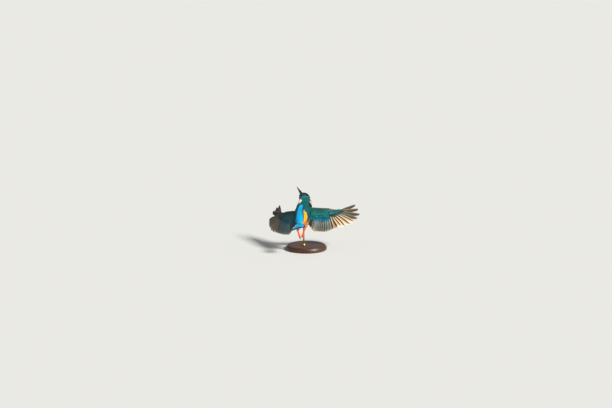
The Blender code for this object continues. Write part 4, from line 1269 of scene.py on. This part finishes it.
def lid_rings(side, lift):
    """The rim of both lids: a soft roll round the eye, longer fore and aft than it is high."""
    axis, ahead, high = eye_axes(side)
    psi = circle(LID_GRID[0])
    phi = 0.98 + 0.09 * np.cos(2 * psi) + 0.05 * np.exp(-((wrap(psi) / 0.35) ** 2))
    outward = unit(axis * np.cos(phi)[:, None] + ring_round(ahead, high, psi) * np.sin(phi)[:, None])
    middle = eye_centre(side) + outward * (EYE_RADIUS + lift)
    slope = unit(np.cross(outward, np.roll(outward, -1, 0) - np.roll(outward, 1, 0)))
    thick = 0.34 * (1 + 0.12 * np.sin(psi * 22))
    section = ring_round(outward * 0.75, slope * 1.25, circle(LID_GRID[1]))
    return middle[:, None] + section * thick[:, None, None]


def toe_path(ankle, length, sideways, curl, t):
    """A toe from the ankle to the common target, spread aside in proportion and curled by t to the 2.2."""
    ahead = unit(np.array(TOE_TARGET, float) - ankle)
    t = np.asarray(t)[:, None]
    bent = np.array([1.0, 0, 0]) * sideways * t + np.array([0, 1.0, 0.25]) * curl * t**2.2
    return ankle + ahead * length * t + bent


def lathe(name, profile, at, look, nodes, sides):
    """A profile of radius and height turned about an upright axis at (x, y)."""
    radius, height = np.asarray(profile, float).T[..., None, None]
    ring = np.stack([*direction(circle(sides)).T, np.zeros(sides)], -1)
    rings = ring * radius + np.array([at[0], at[1], 0]) + np.array([0, 0, 1.0]) * height
    return ring_mesh(name, rings, look=look, nodes=nodes)


def rounded(profile, radius, steps=4):
    """Rounds the inner corners of an open profile with short arcs, each a quadratic through its corner."""
    profile = np.asarray(profile, float)
    out = [profile[0]]
    for before, corner, after in zip(profile, profile[1:], profile[2:]):
        into, away = corner - before, after - corner
        cut = min(radius, 0.45 * np.linalg.norm(into), 0.45 * np.linalg.norm(away))
        a, b = corner - unit(into) * cut, corner + unit(away) * cut
        t = np.linspace(0, 1, steps)[:, None]
        out += list(a * (1 - t) ** 2 + corner * 2 * t * (1 - t) + b * t**2)
    return np.array([*out, profile[-1]])


def tint(name, code, text):
    """A colour property from an sRGB hex code."""
    start = tuple(linear(code))
    return FloatVectorProperty(name=name, description=text, default=start, subtype="COLOR", min=0, max=1)


def distance(name, mm, text):
    """A length property from a value in mm."""
    kind = {"subtype": "DISTANCE", "unit": "LENGTH"}
    return FloatProperty(name=name, description=text, default=mm * MM, min=0.0, **kind)


class KingfisherDyes(bpy.types.PropertyGroup):
    azure: tint("Azure", "#00B0EA", "Stripe down the back and rump")
    azure_bright: tint("Azure tips", "#14CEFC", "Tips of the back's feathers")
    # Cobalt is the tail coverts' own blue and, at the stripe's edges, painted shade
    cobalt: tint("Cobalt", "#0070DC", "Edges of the stripe and the tail coverts")
    mantle_green: tint("Mantle", "#0A4446", "Green of mantle and scapulars")
    mantle_tip: tint("Mantle tips", "#106E70", "Tips of mantle and scapulars")
    crown: tint("Crown", "#062C36", "Ground of the crown")
    crown_bar: tint("Crown bars", "#299EA6", "Bars on crown and malar stripe")
    malar: tint("Malar stripe", "#0D5C70", "Stripe from the bill down the neck")
    rufous: tint("Rufous", "#F0962A", "Breast, belly and flanks")
    # Painted highlight: the flanks' orange as it looks where the key light falls on them
    flank_gold: tint("Flank", "#FFBA12", "Brightest orange of the flanks, beside the rump")
    # Partly the deeper rufous of the upper flanks, partly painted shade on the sides that turn under the body
    rufous_deep: tint("Deep rufous", "#CF6D1C", "Upper flanks")
    rufous_pale: tint("Pale rufous", "#F6B75C", "Vent and underwing")
    white: tint("White", "#FFF4E2", "Throat and neck patch")
    loral_black: tint("Lores", "#15181B", "Dark line from bill to eye")
    covert_dark: tint("Dark coverts", "#0A3A3A", "Base of the wing coverts")
    covert: tint("Coverts", "#0E5C55", "Wing coverts")
    covert_spot: tint("Covert spots", "#1EA498", "Bright spots on the coverts")
    covert_blue: tint("Great coverts", "#0C5F80", "Great coverts")
    covert_sheen: tint("Great covert tips", "#1C9CBC", "Tips of the great coverts")
    edge_buff: tint("Wing edge", "#D9B98A", "Pale front edge of the wing")
    under_grey: tint("Underside", "#9C9184", "Underside of the flight feathers")
    quill_dark: tint("Dark quill", "#2B2622", "Shafts and the darkest webs of the flight feathers")
    quill_brown: tint("Brown quill", "#3C3028", "Inner webs of the outer primaries")
    quill_buff: tint("Quill edge", "#DAA474", "Pale inner edge of the flight feathers")
    primary_web: tint("Primary web", "#21473E", "Outer webs of the primaries")
    secondary_web: tint("Secondary web", "#22949C", "Outer webs of the secondaries")
    secondary_edge: tint("Secondary edge", "#2C9CC4", "Bluer edge of the secondaries' outer webs")
    # Painted light: the cream at the flight feathers' tips stands for light shining through them; at the
    # inner edges it is partly the webs' own pale colour, partly that light
    quill_cream: tint("Quill cream", "#F0DEC2", "Palest inner edge and worn tips")
    tertial_web: tint("Tertial web", "#0E5357", "Outer webs of the tertials")
    tail_blue: tint("Tail", "#0A4AA0", "Outer webs of the tail")
    tail_inner: tint("Tail inner", "#16283F", "Inner webs of the tail")


class KingfisherCoat(bpy.types.PropertyGroup):
    body_vane: distance("Body feather", 7.2, "Length of a back feather")
    body_width: distance("Body feather width", 1.75, "Width of a back feather")
    head_vane: distance("Crown feather", 2.7, "Length of a crown feather")
    head_width: distance("Crown feather width", 1.4, "Width of a crown feather")
    depth: distance("Coat depth", 1.0, "Skin under the coat's surface, scaled along the body")
    comb: distance("Barb comb", 0.45, "Drawn spacing of the barbs")
    seed: IntProperty(name="Seed", description="Start of every small irregularity", default=11, min=0)


class KingfisherParts(bpy.types.PropertyGroup):
    # The bill's horn is black; its navy tints are a painted reflection of blue surroundings
    bill: tint("Bill", "#0C1826", "Horn of the bill")
    bill_line: tint("Bill lines", "#080E18", "Darker growth lines of the bill")
    bill_sheen: tint("Bill sheen", "#152436", "Lighter growth lines of the bill")
    bill_root: tint("Bill root", "#8E3A20", "Warm root of the lower half")
    bill_keel: FloatProperty(name="Bill keel", description="Pinch of the ridge", default=0.86, min=0.5, max=1)
    pupil: tint("Pupil", "#0A0A0D", "Pupil of the eye")
    iris: tint("Iris", "#2A160D", "Brown of the iris")
    lid: tint("Lid", "#1B1A1A", "Skin of the lids")
    coral: tint("Foot", "#F04A14", "Skin of the feet")
    claw: tint("Claw", "#2A2422", "Horn of the claws")
    walnut_dark: tint("Dark walnut", "#2E1A12", "Late wood of the base")
    walnut: tint("Walnut", "#432818", "Wood of the base")
    walnut_light: tint("Light walnut", "#5A3822", "Early wood of the base")
    brass: tint("Brass", "#C9A15A", "Rod and collar")


class KingfisherStage(bpy.types.PropertyGroup):
    floor: tint("Floor", "#CFCFCC", "Paper sweep")
    key: FloatProperty(name="Key light", description="Strength of the soft key light", default=5.2, min=0.0)
    fill: FloatProperty(name="Fill light", description="Strength of the even light", default=0.33, min=0.0)
    reach: distance("Camera distance", 19125, "From the bird to the camera")


def values(label):
    """A group's properties as a plain namespace, with colours as arrays and lengths in mm."""
    group = getattr(bpy.context.scene, label)
    made = {}
    for key in group.__annotations__:
        made[key] = getattr(group, key)
        if group.bl_rna.properties[key].subtype == "COLOR":
            made[key] = np.array(made[key])
        elif group.bl_rna.properties[key].unit == "LENGTH":
            made[key] = made[key] / MM
    return SimpleNamespace(**made)


def dyes():
    """The bird's colours by name."""
    return vars(values("kingfisher_dyes"))


def dice(step):
    """The random draws of one step, its own whatever the others draw."""
    return np.random.default_rng(values("kingfisher_coat").seed * 100 + step)


def contour_look():
    """The material of the coat and the coverts, made once."""
    made = bpy.data.materials.get("contour_feather")
    return made or feather_look("contour_feather", values("kingfisher_coat").comb, 0.04, 0.62, 0.06)


def quill_look():
    """The material of the flight and tail feathers, made once; their barbs stand closer and smoother."""
    made = bpy.data.materials.get("flight_feather")
    return made or feather_look("flight_feather", 0.6, 0.03, 0.56, 0.05, 0.04)


def unite(piece, others, context):
    """Merges other closed meshes into a piece, whose maps they keep."""
    for other in others:
        union = piece.modifiers.new("union", "BOOLEAN")
        union.operation, union.solver, union.object = "UNION", "EXACT", other
    whole = bpy.data.meshes.new_from_object(piece.evaluated_get(context.evaluated_depsgraph_get()))
    piece.modifiers.clear()
    piece.data = whole
    for other in others:
        bpy.data.objects.remove(other)
    whole.shade_smooth()
    whole.materials.clear()
    return whole


class KINGFISHER_OT_skin(bpy.types.Operator):
    """One closed skin of body, arms and thighs, under the coat"""

    bl_idname = "kingfisher.skin"
    bl_label = "Skin"

    def execute(self, context):
        uu, aa, points = skin_shell(*SKIN_GRID, values("kingfisher_coat").depth)
        maps = {"OFBake": body_sheet(uu, aa).reshape(1, -1, 2)}
        piece = weld(put_mesh("skin", points.reshape(1, -1, 3), tube_faces(*uu.shape), maps, closed=False))
        others = []
        for number, wing in enumerate(WINGS.values()):
            leaf, t, shape = wing_shell(wing, *ARM_GRID)
            s, faces = leaf[0], leaf[3]
            over = np.repeat([0, 1], len(faces) // 2)[:, None]
            sheet = on_sheet("wing", (t[faces] / 23 + 0.02 + 2 * number + over) / 4, s[faces])
            others.append(put_mesh("wing_skin", shape[None], faces, {"OFBake": sheet[None]}))
        s, a = np.meshgrid(np.linspace(0.0, 1.12, THIGH_GRID[0]), circle(THIGH_GRID[1]), indexing="ij")
        for leg in LEGS.values():
            shape = thigh_point(leg, s, a, -0.7 * (1 - 0.6 * s))
            maps = {"OFBake": on_sheet("thigh", a / (2 * math.pi), s)}
            others.append(ring_mesh("thigh_skin", shape, None, maps))
        whole = unite(piece, others, context)
        sheet, corner = np.empty(len(whole.loops) * 2), np.empty(len(whole.loops), int)
        whole.uv_layers["OFBake"].data.foreach_get("uv", sheet)
        whole.loops.foreach_get("vertex_index", corner)
        tone = np.zeros((len(whole.vertices), 4))
        np.add.at(tone, corner, np.c_[skin_tones(sheet.reshape(-1, 2), dyes()), np.ones(len(corner))])
        tone[:, :3] /= np.maximum(tone[:, 3:], 1)
        tone[:, 3] = 1
        fill(whole.attributes.new("plumage", "FLOAT_COLOR", "POINT").data, "color", tone)
        arms = [f"wing_{side}_{part}" for side in WINGS for part in ("arm", "hand")]
        flesh = ("head", "neck", "trunk", "rump", "leg_left_thigh", "leg_right_thigh")
        finish_piece(piece, skin_look(), (*flesh, *arms))
        return {"FINISHED"}


BODY_LEAF = shell(np.array([0, 0.35, 0.68, 0.88, 1.0]), np.array([-1, -0.4, 0.4, 1]))
SMALL_LEAF = shell(np.array([0, 0.4, 0.78, 1.0]), np.array([-1, -0.4, 0.4, 1]))
# Stations, then a feather's size there as a share of the group's length and width
BODY_SIZES = (-2.6, -1, 0, 2, 4, 6, 7.6), (1.45, 1.35, 1.2, 1.1, 1.0, 0.82, 0.62)
HEAD_SIZES = (7.2, 8, 9, 10, 11, 12, 13, 14), (1.5, 1.25, 1.08, 0.95, 0.80, 0.68, 0.56, 0.46)
# Lift in mm of the feathers' roots and of the body feathers' tips, at stations
ROOT_LIFT = (-3, -0.5, 1, 7.5), (-0.4, -0.7, -1.0, -0.9)
TIP_LIFT = (-3, 0, 7.5), (0.1, 0.1, 0.0)
HEAD_LIFT = (7, 9, 11, 14), (-0.9, -0.75, -0.6, -0.3)
COATS = (("coat_rump", -2.45, 2.2), ("coat_trunk", 2.2, 4.7), ("coat_neck", 4.7, 7.5))


class KINGFISHER_OT_coat(bpy.types.Operator):
    """Contour feathers of rump, trunk, neck and head, laid on the skin in staggered rows"""

    bl_idname = "kingfisher.coat"
    bl_label = "Body coat"

    def execute(self, context):
        dye, coat, look = dyes(), values("kingfisher_coat"), contour_look()
        long, wide = coat.body_vane, coat.body_width
        form = {"fringe": 0.03, "round_tip": 0.30, "thick": 0.07, "roll": 0.05}
        for number, (name, first, last) in enumerate(COATS):
            rng = dice(number)
            roots, scale, turn = coat_plan(first, last, 0.17, long, wide, BODY_SIZES, 0.09, rng)
            u, a = roots.T
            deg = np.degrees(np.abs(a))
            turn = turn + 0.10 * np.sin(a)
            tips = np.interp(u, *TIP_LIFT) + 0.2 * (deg < 30) * (u < 5.5)
            lift = np.interp(u, *ROOT_LIFT), tips + neck_patch(u, a) * np.where(a > 0, 2.4, 1.0)
            size = long * scale, wide * scale * np.interp(deg, (0, 60, 120), (0.85, 1.0, 0.85))
            lay_coat(name, look, "mantle_azure", roots, BODY_LEAF, size, lift, turn, dye, rng, **form)
        rng = dice(7)
        long, wide = coat.head_vane, coat.head_width
        roots, scale, turn = coat_plan(7.25, 14.0, 0.27, long, wide, HEAD_SIZES, 0.08, rng)
        u, a = roots.T
        lift = np.interp(u, *HEAD_LIFT), 0.12 * (np.degrees(np.abs(a)) < 55)
        form = {"keep": clear_of_eyes, "bar": 0.68, "fringe": 0.04, "thick": 0.10, "roll": 0.06}
        size = long * scale, wide * scale
        lay_coat("coat_head", look, "crown_green_blue", roots, SMALL_LEAF, size, lift, turn, dye, rng, **form)
        return {"FINISHED"}


class KINGFISHER_OT_thighs(bpy.types.Operator):
    """Short soft feathers round both tibias, laid down the leg"""

    bl_idname = "kingfisher.thighs"
    bl_label = "Thigh coat"

    def execute(self, context):
        dye, look = dyes(), contour_look()
        for number, (side, leg) in enumerate(LEGS.items()):
            rng = dice(20 + number)
            hip, heel, *_ = thigh_frame(leg)
            tall = np.linalg.norm(heel - hip)
            roots = []
            for row, s in enumerate(np.arange(0.05, 1.0, 1.0 / tall)):  # rows 1 mm apart
                count = max(6, int(2 * math.pi * np.interp(s, TIBIA_AT, TIBIA_RADII) / 1.5))
                a = (np.arange(count) + 0.5 * (row % 2)) / count * 2 * math.pi
                roots.append(np.stack([np.full(count, s), a], -1))
            roots = np.concatenate(roots)
            s, a = (roots + rng.normal(0, 1, roots.shape) * [[0.01, 0.05]]).T
            long = np.interp(s, (0, 1), (5.5, 3.0)) * (1 + rng.normal(0, 0.1, len(s)))
            wide = np.interp(s, (0, 1), (2.8, 1.5))
            way = direction(rng.normal(0, 0.10, len(s)))
            place, height = spread(SMALL_LEAF, way, long, wide, (-0.3, 0.85), rng)
            radius = np.interp(s, TIBIA_AT, TIBIA_RADII)[:, None]
            around = a[:, None] + place[..., 1] / radius
            points = thigh_point(leg, s[:, None] + place[..., 0] / tall, around, height)
            base = paint(np.tile(dye["rufous"], (len(s), 1)), dye["rufous_pale"], 0.4 * ease(s, 0.2, 0.9))
            colours, gloss = coat_colours(SMALL_LEAF, base, base * 1.05, np.zeros(len(s)), rng)
            maps = tuft_maps(SMALL_LEAF, on_sheet("thigh", (a / (2 * math.pi)) % 1, s), long, wide)
            name = f"coat_thigh_{side}"
            put_vanes(name, look, (), SMALL_LEAF, points, maps, colours, gloss)
        return {"FINISHED"}


class KINGFISHER_OT_wings(bpy.types.Operator):
    """Flight feathers, thumb quills and the coverts on both sides of each wing"""

    bl_idname = "kingfisher.wings"
    bl_label = "Wings"

    def execute(self, context):
        dye, look, quill = dyes(), contour_look(), quill_look()
        for number, (side, wing) in enumerate(WINGS.items()):
            for part, first, last, bands, mix, tip_glow, slot in FANS:
                rng, nodes = dice(30 + number * 10 + first % 7), (f"wing_{side}_{part}",)
                name = f"{part}_{side}"
                flight_fan(name, quill, nodes, wing, first, last, dye, rng, bands, mix, tip_glow)
            for face, (part, slot, *laid) in enumerate(COVERTS):
                rng = dice(50 + 10 * face + number)
                lay_wing(f"{part}_{side}", look, slot, wing, *laid, 2 * number + face, dye, rng)
            alula(f"alula_{side}", quill, wing, dye, dice(70 + number))
        return {"FINISHED"}


class KINGFISHER_OT_tail(bpy.types.Operator):
    """Twelve short tail feathers"""

    bl_idname = "kingfisher.tail"
    bl_label = "Tail"

    def execute(self, context):
        tail_fan("tail_feathers", quill_look(), dyes(), dice(80))
        return {"FINISHED"}


def sheet_grid(shape, low=0.02, high=0.98):
    """Shares of the sheet down a grid's rows, from low to high."""
    return np.broadcast_to(np.linspace(low, high, shape[0])[:, None], shape)


class KINGFISHER_OT_bill(bpy.types.Operator):
    """Upper and lower mandible with a keel, a gape line and nostrils"""

    bl_idname = "kingfisher.bill"
    bl_label = "Bill"

    def execute(self, context):
        parts = values("kingfisher_parts")
        look = bill_look(parts.bill_line, parts.bill_sheen)
        for name, way, long, warmth in (("bill_upper", 1, 1.0, 0.0), ("bill_lower", -1, 0.965, 0.30)):
            ring, uv, t = bill_rings(way, BILL_LENGTH * long, parts.bill_keel)
            shape = ring.shape[:2]
            warm = np.broadcast_to((1 - ease(t, 0.02, 0.30))[:, None] * warmth, shape)
            tone = paint(np.tile(parts.bill, (*shape, 1)), parts.bill_root, warm)
            sheet = np.stack([uv[..., 0] / (BILL_ROUND + 1) * 0.9 + 0.03, sheet_grid(shape)], -1)
            maps = {"OFBake": sheet, "Vane": uv}
            ring_mesh(name + "_horn", ring, tone, maps, look, (name,))
        return {"FINISHED"}


class KINGFISHER_OT_eyes(bpy.types.Operator):
    """Both eyeballs and the lids round them"""

    bl_idname = "kingfisher.eyes"
    bl_label = "Eyes"

    def execute(self, context):
        parts = values("kingfisher_parts")
        ball, rim = eye_look(), scaly_look("lid_skin", 0.5, 0.5, 0.06)
        for side, way in (("right", 1), ("left", -1)):
            rings, phi = eye_rings(way)
            tone = paint(np.tile(parts.pupil, (len(phi), 1)), parts.iris, ease(phi, 0.46, 0.52))
            tone = paint(tone, parts.iris * 0.25, ease(phi, 0.92, 1.02))
            tone = np.repeat(tone[:, None], rings.shape[1], 1)
            ring_mesh(f"eyeball_{side}", rings, tone, None, ball, (f"eye_{side}",))
            lid = lid_rings(way, 0.12)
            points, faces = lid.reshape(1, -1, 3), tube_faces(*lid.shape[:2], True)
            tone = np.tile(parts.lid, (1, points.shape[1], 1))
            lids = weld(put_mesh(f"lids_{side}", points, faces, None, tone, closed=False))
            finish_piece(lids, rim)
        return {"FINISHED"}


def scaled_tubes(name, tubes, tone, look, nodes):
    """Joins tubes into one piece, each darker towards its end, side by side on the sheet."""
    made = []
    for number, rings in enumerate(tubes):
        v = sheet_grid(rings.shape[:2])
        u = (number + 0.1 + 0.8 * sheet_grid(rings.shape[1::-1], 0, 1).T) / len(tubes)
        shade = 1 - 0.18 * ease(v, 0.6, 1.0)
        made.append(ring_mesh(name, rings, tone * shade[..., None], {"OFBake": np.stack([u, v], -1)}))
    return finish_piece(join(made, name), look, nodes)


class KINGFISHER_OT_feet(bpy.types.Operator):
    """Tarsus and four toes of each foot with ring scales, and the claws as pieces of their own"""

    bl_idname = "kingfisher.feet"
    bl_label = "Feet"

    def execute(self, context):
        parts = values("kingfisher_parts")
        flesh = scaly_look("scaled_foot_skin", 0.42, 0.7, 0.10)
        horn = scaly_look("claw_horn", 0.35, 1.6, 0.02)
        for side, (_, heel, ankle) in LEGS.items():
            heel, ankle, way = np.array(heel, float), np.array(ankle, float), WINGS[side]["side"]
            s = np.linspace(-0.12, 1.1, TARSUS_GRID[0])
            radii = TARSUS_RADIUS * np.interp(s, *TARSUS_SWELL)
            radii = radii * (1 + 0.05 * np.abs(np.sin(s * TARSUS_SCALES * math.pi)))
            toes, claws = [tube(CENTRE + heel + (ankle - heel) * s[:, None], radii, TARSUS_GRID[1])], []
            for long, aside, curl in TOES.values():
                form = long, aside * way, curl
                t = np.linspace(0, TOE_END, TOE_GRID[0])
                radii = np.interp(t, np.linspace(0, 1, len(TOE_RADII)), TOE_RADII)
                scales = 0.06 * np.abs(np.sin(t * long * math.pi / SCALE_PITCH))
                pads = 0.07 * np.cos(t / TOE_END * 3 * 2 * math.pi)
                end = np.sqrt(np.clip(1 - ((t - CLAW_START) / 0.085).clip(0, 1) ** 2, 0.02, 1))
                radii = radii * (1 + scales + pads) * end
                toes.append(tube(CENTRE + toe_path(ankle, *form, t), radii, TOE_GRID[1]))
                t = np.linspace(CLAW_START, 1.0, CLAW_GRID[0])
                radii = np.interp(t, *CLAW_RADII)
                claws.append(tube(CENTRE + toe_path(ankle, *form, t), radii, CLAW_GRID[1]))
            scaled_tubes(f"foot_{side}", toes, parts.coral, flesh, (f"leg_{side}_foot",))
            scaled_tubes(f"claws_{side}", claws, parts.claw, horn, ())
        return {"FINISHED"}


def turned_part(node):
    """A round CAD part's centre (x, y), radius, underside and top in mm."""
    low, high = (np.array(corner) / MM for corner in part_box(node))
    return (low + high)[:2] / 2, (high - low)[0] / 2, low[2], high[2]


class KINGFISHER_OT_stand(bpy.types.Operator):
    """Turned walnut base, brass collar and rod"""

    bl_idname = "kingfisher.stand"
    bl_label = "Stand"

    def execute(self, context):
        parts = values("kingfisher_parts")
        wood = walnut_look(parts.walnut_dark, parts.walnut, parts.walnut_light)
        metal = brass_look(parts.brass)
        _, r, _, h = turned_part("stand_base")
        base = [(0.4, 0), (r - 1.2, 0), (r, 1.2), (r, 6.0), (r - 1.6, 7.4), (r - 1.9, 8.2)]
        base += [(r - 3.6, h - 0.6), (r - 6.0, h), (0.4, h)]
        lathe("base_turned", rounded(base, 0.9), (0, 0), wood, ("stand_base",), 160)
        at, thick, _, tip = turned_part("stand_rod")
        _, r, low, h = turned_part("stand_collar")
        collar = [(0.3, low - 0.3), (r, low - 0.3), (r, low + 1.0), (r - 0.9, low + 1.6)]
        collar += [(r - 1.2, low + 2.4), (2.6, h), (0.3, h)]
        lathe("collar_turned", rounded(collar, 0.5), at, metal, ("stand_collar",), 64)
        tip = tip + 2.0  # hidden inside the body
        rod = [(0.2, low), (thick, low), (thick, low + 40), (thick * 0.92, tip - 6), (0.6 * thick, tip)]
        rod += [(0.2, tip + 0.2)]
        lathe("rod_turned", rounded(rod, 0.4), at, metal, ("stand_rod",), 32)
        return {"FINISHED"}


FLOOR_HALF = 60.0  # metres, so that its edge stays out of view from every side
KEY_WAY, KEY_ANGLE, KEY_TINT = (0.66, -0.48, 0.66), 12, (1.0, 0.975, 0.94)  # towards the lamp, degrees wide
FILL_TINT = (0.90, 0.95, 1.0, 1)
LENS, SENSOR, ELEVATION = 500, 36, 12.5  # mm, mm, degrees
AIM_RIGHT, AIM_UP = 8.1, 25  # mm from the trunk's centre, across the view and up in it


class KINGFISHER_OT_stage(bpy.types.Operator):
    """Pale floor, soft key light, even fill and the camera"""

    bl_idname = "kingfisher.stage"
    bl_label = "Stage"

    def execute(self, context):
        scene, stage = context.scene, values("kingfisher_stage")
        mesh = bpy.data.meshes.new("floor")
        corners = [(x * FLOOR_HALF, y * FLOOR_HALF, 0) for x, y in ((-1, -1), (1, -1), (1, 1), (-1, 1))]
        mesh.from_pydata(corners, [], [(0, 1, 2, 3)])
        mesh.materials.append(floor_look(stage.floor))
        floor = bpy.data.objects.new("floor", mesh)
        scene.collection.objects.link(floor)
        scene.world = bpy.data.worlds.new("studio")
        scene.world.use_nodes = True
        back = scene.world.node_tree.nodes["Background"]
        back.inputs["Color"].default_value = FILL_TINT
        back.inputs["Strength"].default_value = stage.fill
        lamp = bpy.data.lights.new("key", "SUN")
        lamp.energy, lamp.angle, lamp.color = stage.key, math.radians(KEY_ANGLE), KEY_TINT
        key = bpy.data.objects.new("key", lamp)
        x, y, z = -unit(np.array(KEY_WAY))
        key.rotation_euler = (math.atan2(math.hypot(x, y), -z), 0, math.atan2(-x, y))
        camera = bpy.data.objects.new("camera", bpy.data.cameras.new("camera"))
        camera.data.sensor_width, camera.data.lens, camera.data.clip_end = SENSOR, LENS, 200
        tilt = math.radians(ELEVATION)
        back_way = np.array([0, -math.cos(tilt), math.sin(tilt)])
        high_way = np.array([0, math.sin(tilt), math.cos(tilt)])
        aim = CENTRE + np.array([AIM_RIGHT, 0, 0]) + high_way * AIM_UP
        camera.location = (aim + back_way * stage.reach) * MM
        camera.rotation_euler = (math.pi / 2 - tilt, 0, 0)
        scene.collection.objects.link(key)
        scene.collection.objects.link(camera)
        scene.camera = camera
        scene.view_settings.view_transform = "Standard"
        return {"FINISHED"}


class KINGFISHER_PT_panel(bpy.types.Panel):
    """Sizes and colours of the kingfisher and a button for each step"""

    bl_idname = "KINGFISHER_PT_panel"
    bl_label = "Kingfisher"
    bl_space_type = "VIEW_3D"
    bl_region_type = "UI"
    bl_category = "Kingfisher"

    def draw(self, context):
        for step in STEPS:
            self.layout.operator(step.bl_idname)
        for label in GROUPS:
            box = self.layout.box()
            group = getattr(context.scene, label)
            for key in group.__annotations__:
                box.prop(group, key)


GROUPS = {
    "kingfisher_dyes": KingfisherDyes,
    "kingfisher_coat": KingfisherCoat,
    "kingfisher_parts": KingfisherParts,
    "kingfisher_stage": KingfisherStage,
}
STEPS = (
    KINGFISHER_OT_skin,
    KINGFISHER_OT_coat,
    KINGFISHER_OT_thighs,
    KINGFISHER_OT_wings,
    KINGFISHER_OT_tail,
    KINGFISHER_OT_bill,
    KINGFISHER_OT_eyes,
    KINGFISHER_OT_feet,
    KINGFISHER_OT_stand,
    KINGFISHER_OT_stage,
)


def register():
    for group in (*GROUPS.values(), *STEPS, KINGFISHER_PT_panel):
        bpy.utils.register_class(group)
    for label, group in GROUPS.items():
        setattr(bpy.types.Scene, label, PointerProperty(type=group))


def unregister():
    for label in GROUPS:
        delattr(bpy.types.Scene, label)
    for group in (KINGFISHER_PT_panel, *reversed(STEPS), *reversed(GROUPS.values())):
        bpy.utils.unregister_class(group)


def main():
    """Makes every piece and the stage in order."""
    register()
    for step in STEPS:
        family, name = step.bl_idname.split(".")
        getattr(getattr(bpy.ops, family), name)()


if __name__ == "__main__":
    main()
